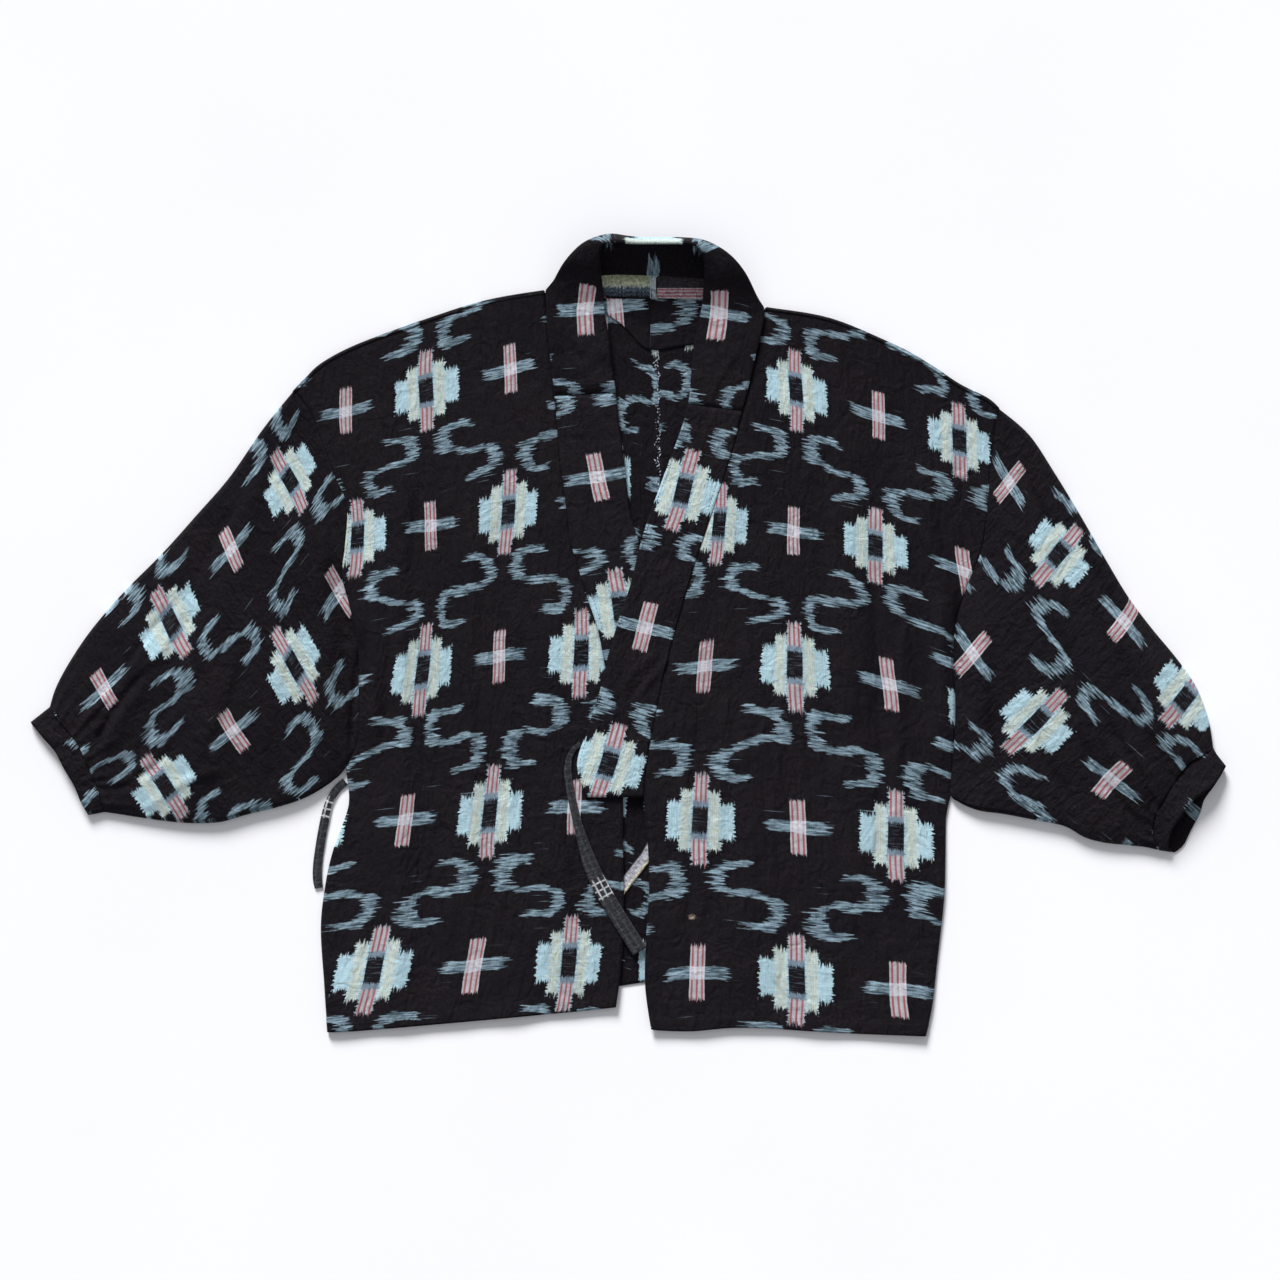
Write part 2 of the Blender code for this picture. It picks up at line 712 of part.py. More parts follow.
def tie(name, table, steps, height, wall, colour):
    """A narrow tie along a table of places and widths; height gives its upper face."""
    grid = []
    for k in range(steps + 1):
        x, y, width = curve_at(table, k / steps)
        ahead = curve_at(table, (k + 0.5) / steps)
        behind = curve_at(table, (k - 0.5) / steps)
        across = Vector((behind[1] - ahead[1], ahead[0] - behind[0])).normalized() * width / 2
        row = []
        for share in (-1, 0, 1):
            px, py = x + across.x * share, y + across.y * share
            row.append((px, py, height(px, py)))
        grid.append(row)
    sew(name, [grid], wall, colour)


def clear_scene():
    """Take out the objects of the start-up file."""
    for thing in list(bpy.data.objects):
        bpy.data.objects.remove(thing, do_unlink=True)


clear_scene()
JACKET = bpy.data.collections.new("noragi_jacket")
bpy.context.scene.collection.children.link(JACKET)

middle_of_neck = NECK_SEAM.index(CENTRE_NECK)
body("body_left", LEFT_BODY, LEFT_SHOULDER, LEFT_HEM, NECK_SEAM[: middle_of_neck + 1], -1)
body("body_right", RIGHT_BODY, RIGHT_SHOULDER, RIGHT_HEM, NECK_SEAM[middle_of_neck:][::-1], 1)
sleeve("sleeve_left", LEFT_SLEEVE, LEFT_BODY, LEFT_CUFF, -1)
sleeve("sleeve_right", RIGHT_SLEEVE, RIGHT_BODY, RIGHT_CUFF, 1)
cuff("cuff_left", LEFT_CUFF, LEFT_CUFF_CROWN)
cuff("cuff_right", RIGHT_CUFF, RIGHT_CUFF_CROWN)
band = band_points()
collar_end("collar_left", band[: OVER_FIRST + 1])
collar_end("collar_right", band[OVER_LAST:])
over_collar(band[OVER_FIRST : OVER_LAST + 1])
laid("neck_facing", NECK_FACING, 3, DARK)
laid("neck_strip_left", LEFT_STRIP, 1, PALE_GREEN)
laid("neck_strip_right", RIGHT_STRIP, 1, DULL_RED)


def on_left_front(x, y):
    """The upper face of a tie that lies on the left front."""
    return FRONT_TOP + LAID_GAP + TIE_WALL + fold_relief(x, y)


tie("tie_outer", OUTER_TIE, 24, on_left_front, TIE_WALL, CHECK_GREY)
tie("tie_side", SIDE_TIE, 14, lambda x, y: TIE_WALL, TIE_WALL, CHECK_GREY)
tie("tie_inner", INNER_TIE, 12, lambda x, y: TRIM_TOP, TRIM_WALL, PALE_GREY)
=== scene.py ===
# %% [markdown]
# # A patterned cotton work jacket, laid flat
#
# The object is a noragi: a farm worker's jacket of dark cotton with a woven kasuri pattern.
# It lies on a table with its front side up, and the camera looks straight down at it.
#
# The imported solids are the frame. Each solid is a plain wall of the right shape and size, and
# this script puts a finer shell of the same form in its place: one with creases, hems, gathers,
# a woven pattern and stitches.

# %% Load the frame
import math
from functools import partial

import bmesh
import bpy
import numpy as np
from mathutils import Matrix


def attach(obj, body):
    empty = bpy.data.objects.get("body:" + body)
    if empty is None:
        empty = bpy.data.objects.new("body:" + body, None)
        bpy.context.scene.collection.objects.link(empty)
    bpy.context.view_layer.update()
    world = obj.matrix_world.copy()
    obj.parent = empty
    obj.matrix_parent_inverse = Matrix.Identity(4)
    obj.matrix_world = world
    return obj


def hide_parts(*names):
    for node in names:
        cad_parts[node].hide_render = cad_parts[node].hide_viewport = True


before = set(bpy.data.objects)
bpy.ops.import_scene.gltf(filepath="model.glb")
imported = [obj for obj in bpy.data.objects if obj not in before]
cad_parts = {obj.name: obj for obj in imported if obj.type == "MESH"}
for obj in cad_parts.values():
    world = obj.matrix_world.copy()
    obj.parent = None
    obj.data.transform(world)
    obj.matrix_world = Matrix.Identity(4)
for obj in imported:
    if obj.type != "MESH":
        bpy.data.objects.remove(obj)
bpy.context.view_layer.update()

# %% [markdown]
# ## The cutting board
#
# A tailor marks cloth on a board. Here the board is in millimetres: x runs to the right and y
# runs down towards the hem. Keeping every number in board millimetres makes them easy to check
# with a ruler, and one function turns them into Blender's metres at the very end.

# %% Board and small helpers
BOARD_MID = (627.8, 636.0)
MM = 0.001

# Cloth walls in millimetres, and the heights of the outer faces, as in the solids.
BODY_WALL, COLLAR_WALL, OVER_COLLAR_WALL = 1.2, 2.0, 2.6
CUFF_WALL, TRIM_WALL, TIE_WALL = 1.6, 1.0, 1.6
SEAM_GAP, LAID_GAP, TRIM_GAP = 0.06, 0.4, 0.3
# No fold brings the outer face of an upper layer lower than this.
LOWEST_TOP = 3.2
FRONT_TOP, SHOULDER_TOP, COLLAR_TOP, CUFF_EDGE = 4.1, 6.4, 4.9, 6.0
TRIM_TOP = BODY_WALL + TRIM_GAP + TRIM_WALL


def soft_step(low, high, value):
    """0 below low, 1 above high, and a smooth slope between."""
    t = np.clip((value - low) / (high - low), 0, 1)
    return t * t * (3 - 2 * t)


def smooth_line(rows, steps):
    """A smooth line through the rows of a table, with this many steps between two rows."""
    p = np.array(rows, float)
    p = np.vstack([p[:1], p, p[-1:]])
    f = (np.arange(steps) / steps)[:, None]
    pieces = [
        b + 0.5 * f * (c - a + f * (2 * a - 5 * b + 4 * c - d + f * (3 * (b - c) + d - a)))
        for a, b, c, d in zip(p, p[1:], p[2:], p[3:])
    ]
    return np.vstack([*pieces, p[-1:]])


def distances(points):
    """How far along a line each of its points lies."""
    steps = np.linalg.norm(np.diff(points, axis=0), axis=1)
    return np.concatenate([[0], np.cumsum(steps)])


def spread(points, count):
    """Count + 1 points at even distances on a line."""
    along = distances(points[:, :2])
    at = np.linspace(0, along[-1], count + 1)
    return np.stack([np.interp(at, along, points[:, k]) for k in range(points.shape[1])], axis=1)


def fill(top, bottom, left, right, shares=None):
    """Rows of board points between four lines that meet at their ends."""
    u = (np.linspace(0, 1, len(top)) if shares is None else shares)[None, :, None]
    v = np.linspace(0, 1, len(left))[:, None, None]
    plan = (1 - v) * top[None] + v * bottom[None] + (1 - u) * left[:, None] + u * right[:, None]
    plan = plan - (1 - u) * (1 - v) * top[0] - u * (1 - v) * top[-1]
    return plan - (1 - u) * v * bottom[0] - u * v * bottom[-1]


def with_height(plan, height):
    """A plan with a height for each of its points."""
    return np.dstack([plan, np.broadcast_to(height, plan.shape[:2])])


# %% [markdown]
# ## The shape of the cut pieces
#
# A noragi is cut from narrow loom widths: one length of cloth for each half of the body, which
# runs up the front, over the shoulder and down the back. The tables hold the seams and edges of
# those pieces where they lie in the photograph. They are the same numbers as in the solids, so
# the fine shells follow the plain ones.

# %% Seams and edges of the body
# outer_x, outer_y (armhole, then side), inner_x, inner_y (collar seam, then front edge)
LEFT_BODY = [
    (294, 391, 545, 290), (310, 412, 546.5, 316), (322, 443, 551.5, 368), (336, 478, 554.5, 396),
    (347, 506, 560.5, 465), (345, 547, 565.5, 503), (342, 575, 570.5, 541), (349, 603, 579.5, 572),
    (357, 640, 589, 602), (359, 690, 598, 630), (358, 738, 604.5, 663), (349, 766, 612, 705),
    (349, 805, 618, 750), (333, 852, 623, 797), (325, 888, 623, 845), (321, 930, 624, 900),
    (325, 985, 622, 960), (328, 1032, 616, 1007),
]
RIGHT_BODY = [
    (998, 408, 765, 307), (994, 435, 760.5, 337), (990, 472, 750, 381), (987, 510, 742, 411),
    (982, 548, 734, 443), (968, 583, 724.5, 475), (956, 622, 713.5, 508), (953, 658, 693, 569),
    (955, 700, 684, 600), (954, 740, 666.5, 662), (951, 775, 652, 731), (949, 794, 646, 767),
    (946, 818, 644, 797), (945, 858, 648, 850), (943, 902, 649, 890), (938, 952, 646, 938),
    (932, 1002, 645, 985), (925, 1036, 651, 1029),
]
# The section at the armpit, where the armhole ends and the side begins.
ARMPIT = 11

# How far each shoulder and hem bows beyond the straight line between its ends.
LEFT_SHOULDER = [(0, 0), (0.05, 8), (0.12, 17), (0.27, 21), (0.56, 18), (0.77, 13), (1, 0)]
RIGHT_SHOULDER = [(0, 0), (0.05, 5), (0.17, 7), (0.3, 14), (0.45, 18), (0.72, 17), (1, 0)]
LEFT_HEM = [(0, 0), (0.08, 5), (0.95, 4.5), (1, 0)]
RIGHT_HEM = [(0, 0), (0.3, -1), (0.65, -4), (0.85, 1), (0.97, 1), (1, 0)]
BACK_HEM = [(0, 0), (0.3, 3), (0.7, 0), (1, 0)]

# The neck seam on the back, from the left neck point to the right one.
NECK_SEAM = [
    (545, 290), (562, 285.5), (583, 280), (607, 276), (632, 276),
    (657, 277), (682, 278.5), (704, 280), (724, 285), (744, 294.5), (765, 307),
]
CENTRE_NECK, CENTRE_HEM = (657, 277), (652, 981)
CENTRE_BOW, BOW_AT = 5, 0.42

# %% Sleeves and cuffs
# upper_x, upper_y, lower_x, lower_y, edge_height, crown: stations from the armhole to the cuff
LEFT_SLEEVE = [
    (293, 392, 345.5, 765, 6.4, 0), (264, 428, 334, 780, 7.5, 6), (230, 477, 307, 797, 8, 11),
    (197, 515, 278, 807, 8, 13), (163, 553, 249, 814, 8, 14), (131, 585, 220, 822, 8, 14),
    (108, 610, 190, 823, 7.5, 13), (87, 636, 162, 820.5, 7, 11), (68, 665, 138, 817, 6.5, 8),
    (56, 688, 119, 814, 6, 6), (50, 707, 105, 812, 6, 5),
]
RIGHT_SLEEVE = [
    (999, 409, 952.5, 793, 6.4, 0), (1029, 435, 957, 801, 7.5, 6), (1055, 474, 977, 810, 8, 11),
    (1081, 517, 1004, 814, 8, 13), (1104, 557, 1035, 820, 8, 14), (1128, 597, 1064, 826, 8, 14),
    (1152, 629, 1084, 837, 7.5, 13), (1176, 658, 1104, 842.5, 7, 12),
    (1196, 687, 1127, 845, 6.5, 10),
    (1208, 719, 1145, 847, 6, 8), (1213, 748, 1158, 850, 6, 6),
]
# seam_x, seam_y, mouth_x, mouth_y, under_x, under_y: cuff lines from the upper tip to the lower
LEFT_CUFF = [
    (50, 707, 31, 722, 31, 722), (61, 722, 43, 737, 43, 737), (73, 736, 56, 752, 56, 752),
    (82, 751, 65, 769, 65, 769), (91, 771, 75, 786, 75, 786), (99, 790, 82, 803, 82, 803),
    (105, 812, 89, 815, 89, 815),
]
RIGHT_CUFF = [
    (1213, 748, 1226, 765, 1223, 772), (1200, 756, 1219, 776, 1214, 786),
    (1187, 764, 1209, 788, 1204, 800), (1174, 781, 1191, 801, 1200, 813),
    (1163, 798, 1179, 817, 1191, 830), (1154, 815, 1171, 830, 1184, 844),
    (1152, 834, 1168, 842, 1178, 850), (1158, 850, 1168, 851, 1173, 853),
]
LEFT_CUFF_CROWN, RIGHT_CUFF_CROWN = (5, 5), (6, 12)

# %% Collar band
# seam_x, seam_y, free_x, free_y, lift: upwards on the left side and down on the right
LEFT_BAND = [
    (622, 790, 680, 790, 0), (618, 750, 674, 745, 0), (612, 705, 668, 700, 0),
    (604.5, 663, 661, 655, 0), (598, 630, 654, 616, 0), (589, 602, 647, 578, 0),
    (579.5, 572, 640, 546, 0), (570.5, 541, 631, 516, 0),
    (565.5, 503, 627, 487, 0), (560.5, 465, 624, 458, 0), (557.5, 430, 620, 430, 0.3),
    (554.5, 396, 616, 393, 0.8), (551.5, 368, 612, 365, 1.6), (548.5, 342, 609, 338, 2.6),
    (546.5, 316, 605, 314, 3.6), (546, 301, 604, 300, 4.3),
]
RIGHT_BAND = [
    (764, 318, 702, 306, 4.3), (760.5, 337, 697, 328, 3.4), (755.6, 356, 693, 350, 2.4),
    (750, 381, 691, 376, 1.5), (742, 411, 688, 404, 0.8), (734, 443, 680, 432, 0.3),
    (724.5, 475, 668, 464, 0), (713.5, 508, 656, 497, 0), (703.5, 538, 647, 522, 0),
    (693, 569, 639, 549, 0), (684, 600, 630, 586, 0), (675, 631, 618, 622, 0),
    (666.5, 662, 608, 656, 0), (659, 696, 600, 690, 0), (652, 731, 588, 728, 0),
    (646, 767, 577, 764, 0), (643.5, 797, 586, 797, 0),
]
# Seam, middle and free edge (x, y, z) where the band stands round the back of the neck.
NECK_BAND = [
    (546.5, 290, 8.8, 569, 279, 17, 602.5, 285, 14), (555, 286, 7.4, 568, 264, 25, 601, 269, 22),
    (569, 282, 6, 579, 251, 29, 600, 256, 29), (587, 278, 5, 593, 242, 31, 603, 247, 35),
    (609, 275, 4.6, 611, 237, 31, 614, 244, 39), (632, 275, 4.6, 632, 239, 31, 632, 245, 41),
    (657, 276, 4.6, 657, 240, 31, 657, 245, 41), (682, 277.5, 4.6, 681, 240, 31, 680, 245, 40),
    (703, 279, 4.8, 700, 242, 30, 694, 247, 38), (722, 283.5, 5.4, 716, 249, 30, 701, 255, 34),
    (740, 291, 6.2, 731, 260, 29, 704, 266, 28), (754, 299, 7.4, 742, 275, 25, 704, 279, 21),
    (763, 307, 8.8, 741, 291, 17, 703, 292, 14),
]
# The over-collar covers the band between these stations.
OVER_FIRST, OVER_LAST = 11, 33

# %% Inner pieces and ties
# upper_x, upper_y, lower_x, lower_y
NECK_FACING = [
    (590, 298, 590, 309), (607, 298.5, 607, 315), (621, 299, 621, 324), (631, 299, 631, 334),
    (645, 299.3, 645, 348), (660, 299.6, 660, 350), (676, 300, 676, 347), (692, 300.5, 692, 345),
    (714, 301, 714, 343),
]
LEFT_STRIP = [(596, 275, 598, 296), (612, 273.5, 613, 296.8), (656, 274, 656, 298.3)]
RIGHT_STRIP = [(657, 274, 657, 298.3), (682, 276, 682, 299), (712, 279, 710, 300)]
# x, y, width
OUTER_TIE = [
    (580.5, 743.5, 5), (574, 749, 5), (569.5, 758, 6), (568, 771, 7), (570, 787, 8), (573, 803, 8),
    (578.5, 826, 9), (585, 848, 12), (592.5, 869, 15), (602, 889, 16), (613, 908, 16),
    (626, 929, 16),
    (640, 951, 16),
]
SIDE_TIE = [
    (345.4, 781.6, 8), (336.5, 790, 8), (330, 801, 8), (326, 815, 9), (322.5, 832, 9),
    (319.5, 850, 9),
    (317.5, 867, 9), (317.5, 879, 9), (318.8, 888, 8),
]
INNER_TIE = [
    (663, 783, 12), (664, 800, 12), (659, 828, 12), (648, 853, 12), (636, 869, 12), (623, 886, 12),
    (611, 902, 12),
]
print("collar stations:", len(LEFT_BAND) + len(NECK_BAND) + len(RIGHT_BAND))

# %% [markdown]
# ## Folds and creases
#
# Laid cloth is never flat. A cloth simulation would make believable folds, but not the ones in
# this photograph, so each main fold is a row of a table: a line on the board with a width and a
# height. A positive height is a soft ridge and a negative one a trough. A slow waviness from a
# few long sine waves joins them up, so that light rolls over the cloth everywhere.

# %% Folds and creases of the upper layer
# start_x, start_y, end_x, end_y, half_width, height: the large folds, as in the solids
FOLDS = [
    (404, 470, 398, 990, 15, 2.6), (472, 520, 468, 930, 13, 1.5), (540, 600, 556, 980, 16, 1.4),
    (374, 585, 372, 745, 13, 4.2), (318, 520, 330, 715, 13, 3.4), (262, 470, 205, 660, 17, 2.6),
    (236, 640, 196, 790, 15, 2.2), (149, 662, 100, 748, 14, 3.4), (915, 490, 944, 576, 13, 3.4),
    (944, 580, 942, 740, 12, 3.2), (985, 590, 976, 740, 13, 3.0), (1015, 500, 1062, 660, 17, 2.4),
    (1108, 728, 1150, 806, 13, 3.4), (1130, 640, 1172, 735, 15, 2.4), (845, 420, 858, 900, 18, 1.6),
    (760, 560, 742, 980, 17, 1.4),
]
# start_x, start_y, end_x, end_y, bow to the side, half_width, height: creases, listed one by one
CREASES = [
    (363, 640, 352, 745, 3, 3.0, -1.6), (361, 598, 385, 575, -3, 3.0, -1.2),
    (330, 560, 352, 640, 4, 5.0, -1.1), (306, 520, 340, 600, 6, 6.0, -0.9),
    (420, 480, 412, 700, 5, 6.0, -0.8), (388, 700, 384, 980, -4, 6.0, -0.8),
    (486, 560, 478, 760, 3, 5.0, -0.6), (520, 640, 531, 900, 4, 6.0, -0.6),
    (452, 700, 446, 960, -4, 6.0, 0.7), (560, 760, 575, 990, 3, 5.0, 0.6),
    (700, 720, 690, 960, 4, 6.0, -0.6), (726, 600, 716, 860, -3, 6.0, 0.6),
    (820, 480, 834, 760, 5, 6.0, -0.7), (872, 560, 880, 860, -4, 6.0, -0.7),
    (905, 620, 898, 900, 4, 6.0, 0.8), (780, 700, 772, 980, 4, 6.0, 0.6),
    (850, 360, 905, 470, 8, 6.0, -0.8), (930, 500, 946, 560, -4, 4.0, -1.0),
    (958, 600, 962, 700, 3, 4.0, -1.2), (300, 420, 250, 560, 8, 5.0, -0.8),
    (240, 500, 178, 640, 6, 5.0, -0.9), (210, 560, 140, 680, -6, 4.5, 0.8),
    (180, 600, 110, 700, 5, 4.0, -0.9), (150, 640, 85, 720, -4, 3.5, 0.9),
    (149, 669, 96, 747, 4, 5.0, -2.2), (200, 680, 130, 770, 6, 5.0, -0.8),
    (250, 640, 200, 770, -6, 6.0, -0.7), (290, 640, 262, 780, 5, 6.0, 0.7),
    (180, 740, 118, 790, -5, 4.0, -0.8), (220, 770, 150, 806, 5, 5.0, 0.7),
    (1020, 470, 1072, 620, -7, 5.0, -0.9), (1060, 520, 1122, 650, 5, 5.0, 0.8),
    (1086, 560, 1150, 690, -6, 4.5, -0.9), (1050, 620, 1120, 740, 6, 5.0, -0.8),
    (1000, 560, 1030, 720, -6, 6.0, 0.7), (1010, 680, 1070, 800, 6, 5.0, -0.7),
    (1122, 690, 1180, 760, 4, 4.0, 0.9), (1110, 732, 1155, 812, -4, 5.0, -2.0),
    (1080, 740, 1140, 826, 4, 4.0, -0.8), (990, 640, 1000, 780, 4, 5.0, -0.8),
]

# Height gains over the tables, and how softly a fold or a crease runs out at its ends.
FOLD_GAIN, CREASE_GAIN = 2.1, 2.6
FOLD_END, CREASE_END = 45.0, 14.0
MEAN_RISE, LONG_WAVE, SHORT_WAVE, LAP_RISE = 0.5, 0.9, 0.35, 2.8


def ridge(x, y, x0, y0, x1, y1, bow, width, height, ends):
    """One soft ridge or trough along a line that bows to its side."""
    length = math.hypot(x1 - x0, y1 - y0)
    ahead = ((x - x0) * (x1 - x0) + (y - y0) * (y1 - y0)) / length
    aside = ((x - x0) * (y1 - y0) - (y - y0) * (x1 - x0)) / length
    aside = aside + bow * np.sin(math.pi * np.clip(ahead / length, 0, 1))
    fade = soft_step(-ends, ends, ahead) * soft_step(-ends, ends, length - ahead)
    return height * fade * np.exp(-((aside / width) ** 2))


def relief(x, y):
    """How far the folds, the creases and the slow waviness raise the upper layer."""
    long = np.sin(x / 23 + 1.3 * np.sin(y / 61)) * np.sin(y / 37 + np.sin(x / 53))
    short = np.sin(x / 9.5 + 2.1 * np.sin(y / 47)) * np.sin(y / 19 + 1.7)
    height = MEAN_RISE + LONG_WAVE * long + SHORT_WAVE * short
    for row in FOLDS:
        height = height + FOLD_GAIN * ridge(x, y, *row[:4], 0, *row[4:], FOLD_END)
    for row in CREASES:
        height = height + CREASE_GAIN * ridge(x, y, *row, CREASE_END)
    return height


def lap(x, y):
    """How far the right front and its collar are lifted over the left collar."""
    near_edge = 1 - soft_step(690, 745, x)
    return LAP_RISE * near_edge * soft_step(440, 532, y) * (1 - soft_step(800, 865, y))


print("folds:", len(FOLDS), "creases:", len(CREASES))

# %% [markdown]
# ## Where the pattern lies on the cloth
#
# Kasuri cloth is woven from threads that were bound and dyed before weaving, so its motifs keep
# to the threads wherever the cloth bends. That calls for a UV map in millimetres of cloth
# instead of a projection from above. The motifs repeat on a lattice: a well sign and a cross
# take turns, 97.5 mm apart across the cloth and 160 mm apart along it. For each panel a few
# motif centres were marked on the board, and a least-squares fit turns a board place into a
# place in the repeat.

# %% Motif centres of each panel
REPEAT_ACROSS, REPEAT_ALONG = 97.5, 160.0
# x, y, column, row. The sum of column and row is even at a well and odd at a cross.
RIGHT_FRONT_MOTIFS = [
    (795, 388, 0, 0), (880, 418, 1, 0), (958, 440, 2, 0), (720, 525, -1, 1), (793, 532, 0, 1),
    (873, 545, 1, 1), (704, 668, -1, 2), (795, 662, 0, 2), (890, 685, 1, 2), (700, 820, -1, 3),
    (797, 829, 0, 3), (897, 834, 1, 3), (697, 970, -1, 4), (797, 981, 0, 4), (897, 988, 1, 4),
]
LEFT_FRONT_MOTIFS = [
    (345, 412, -1, 0), (425, 392, 0, 0), (512, 368, 1, 0), (360, 535, -1, 1), (430, 527, 0, 1),
    (508, 512, 1, 1), (424, 670, 0, 2), (498, 655, 1, 2), (580, 655, 2, 2), (405, 820, 0, 3),
    (490, 812, 1, 3), (575, 808, 2, 3), (373, 970, 0, 4), (474, 965, 1, 4), (570, 962, 2, 4),
]
LEFT_SLEEVE_MOTIFS = [
    (292, 482, 0, 0), (232, 548, -1, 0), (172, 622, -2, 0), (104, 690, -3, 0), (338, 590, 0, 1),
    (297, 668, -1, 1), (235, 730, -2, 1), (167, 785, -3, 1),
]
RIGHT_SLEEVE_MOTIFS = [
    (1010, 482, 1, 0), (1055, 555, 2, 0), (1125, 620, 3, 0), (1182, 700, 4, 0), (972, 655, 2, 1),
    (1035, 722, 3, 1), (1112, 778, 4, 1),
]

FIT_MIDDLE, FIT_SPAN = 600, 300
PULL_REACH, PULL_EASE = 110.0, 0.15


def terms(x, y, curved):
    """The terms of the fit: a flat part, and for a curved fit the squares as well."""
    x, y = ((np.asarray(values, float) - FIT_MIDDLE) / FIT_SPAN for values in (x, y))
    parts = [np.ones_like(x), x, y, x * y] + ([x * x, y * y] if curved else [])
    return np.stack(parts, axis=-1)


def fit_motifs(motifs, curved):
    """A function from board places to the repeat, in millimetres, that meets each centre."""
    marks = np.array(motifs, float)
    goal = marks[:, 2:] * (REPEAT_ACROSS, REPEAT_ALONG)
    known = terms(marks[:, 0], marks[:, 1], curved)
    weights = np.linalg.lstsq(known, goal, rcond=None)[0]
    left_over = goal - known @ weights
    print(f"motifs: {len(motifs)}, mean miss before the last pull: {abs(left_over).mean():.1f} mm")

    def pulls(x, y):
        x, y = np.asarray(x)[..., None], np.asarray(y)[..., None]
        far = (x - marks[:, 0]) ** 2 + (y - marks[:, 1]) ** 2
        return np.exp(-far / PULL_REACH**2)

    eased = pulls(marks[:, 0], marks[:, 1]) + PULL_EASE * np.eye(len(marks))
    nudges = np.linalg.lstsq(eased, left_over, rcond=None)[0]
    return lambda x, y: terms(x, y, curved) @ weights + pulls(x, y) @ nudges


def turned_map(x0, y0, degrees, column, row, stretch=1.0):
    """A repeat laid straight, turned, with one motif at a board place."""
    c, s = math.cos(math.radians(degrees)), math.sin(math.radians(degrees))

    def placed(x, y):
        across, along = (x - x0) * c + (y - y0) * s, (y - y0) * c - (x - x0) * s
        across, along = across + column * REPEAT_ACROSS, along * stretch + row * REPEAT_ALONG
        return np.stack([across, along], axis=-1)

    return placed


on_left_front, on_right_front, on_left_sleeve, on_right_sleeve = (
    fit_motifs(motifs, curved) for motifs, curved in (
        (LEFT_FRONT_MOTIFS, True), (RIGHT_FRONT_MOTIFS, True),
        (LEFT_SLEEVE_MOTIFS, False), (RIGHT_SLEEVE_MOTIFS, False),
    )
)

# %% [markdown]
# ## From a grid to a piece of cloth
#
# Every piece starts as one or more grids of board points. They could be drawn as NURBS patches,
# but plain grids are simple to shape with numbers, and their edges weld exactly. The grids are
# the outer face of the cloth, and a Solidify modifier adds the wall on its inner side, which
# gives each hem and edge its real thickness.

# %% Make a mesh from grids
# Corners closer than this, in metres, are sewn together.
WELD = 0.00002


def in_metres(points):
    """Board millimetres as metres, with +Y towards the collar."""
    x, y, z = points[..., 0], points[..., 1], points[..., 2]
    return np.stack([x - BOARD_MID[0], BOARD_MID[1] - y, z], axis=-1) * MM


def sew(name, sheets, wall, finish):
    """Make a piece from pairs of a grid and its cloth map, and give it its wall."""
    corners, faces, cloth = [], [], []
    for grid, at in sheets:
        rows, columns = grid.shape[:2]
        number = np.arange(rows * columns).reshape(rows, columns) + sum(len(c) for c in corners)
        quads = [number[:-1, :-1], number[:-1, 1:], number[1:, 1:], number[1:, :-1]]
        corners.append(in_metres(grid).reshape(-1, 3))
        cloth.append(np.broadcast_to(at, (rows, columns, 2)).reshape(-1, 2) * MM)
        faces.append(np.stack(quads, axis=-1).reshape(-1, 4))
    corners, faces, cloth = np.vstack(corners), np.vstack(faces), np.vstack(cloth)
    mesh = bpy.data.meshes.new(name)
    mesh.from_pydata(corners.tolist(), [], faces.tolist())
    layer = mesh.uv_layers.new(name="cloth")
    order = np.empty(len(mesh.loops), np.int32)
    mesh.loops.foreach_get("vertex_index", order)
    layer.data.foreach_set("uv", cloth[order].ravel())
    shape = bmesh.new()
    shape.from_mesh(mesh)
    bmesh.ops.remove_doubles(shape, verts=shape.verts, dist=WELD)
    bmesh.ops.recalc_face_normals(shape, faces=shape.faces)
    shape.normal_update()
    # The higher faces say which side is the outer one.
    lowest = min(corner.co.z for corner in shape.verts)
    looks_up = sum(
        f.normal.z * f.calc_area() * (f.calc_center_median().z - lowest) for f in shape.faces
    )
    if looks_up < 0:
        bmesh.ops.reverse_faces(shape, faces=shape.faces)
    area = sum(face.calc_area() for face in shape.faces)
    shape.to_mesh(mesh)
    shape.free()
    mesh.shade_smooth()
    mesh.materials.append(finish)
    piece = bpy.data.objects.new(name, mesh)
    bpy.context.scene.collection.objects.link(piece)
    solidify = piece.modifiers.new("Wall", "SOLIDIFY")
    solidify.thickness, solidify.offset, solidify.use_even_offset = wall * MM, -1, False
    print(f"{name}: {len(mesh.polygons)} faces, {area:.4f} square metres of cloth")
    return piece


ROLL_ANGLES = (60, 30, 0, -30, -60)


def half_round(upper, lower, out):
    """Lines of points round a folded edge, from an upper line to the line below it."""
    radius = ((upper[:, 2] - lower[:, 2]) / 2)[:, None]
    middle = (upper + lower) / 2
    out = np.broadcast_to(out, (len(upper), 2))
    out = out / np.linalg.norm(out, axis=1)[:, None]
    lines = []
    for angle in np.radians(ROLL_ANGLES):
        reach, rise = radius * math.cos(angle), radius * math.sin(angle)
        lines.append(np.hstack([middle[:, :2] + out * reach, middle[:, 2:] + rise]))
    return [upper, *lines, lower]


# %% [markdown]
# ## The body
#
# Each half of the body is one length of cloth. Its front and back are two grids, joined by a
# rolled edge at the shoulder and one at the side. Hems are folded twice, so the cloth is a little
# higher over the last 13 mm.

# %% Body panels
ALONG_STEPS, ACROSS_STEPS = 12, 7
FRONT_COLUMNS, NECK_COLUMNS = 13 * ACROSS_STEPS, 5 * ACROSS_STEPS
EDGE_REACH = 28.0
HEM_DEPTH, HEM_RISE, HEM_SLOPE = 13.0, 0.7, 1.5
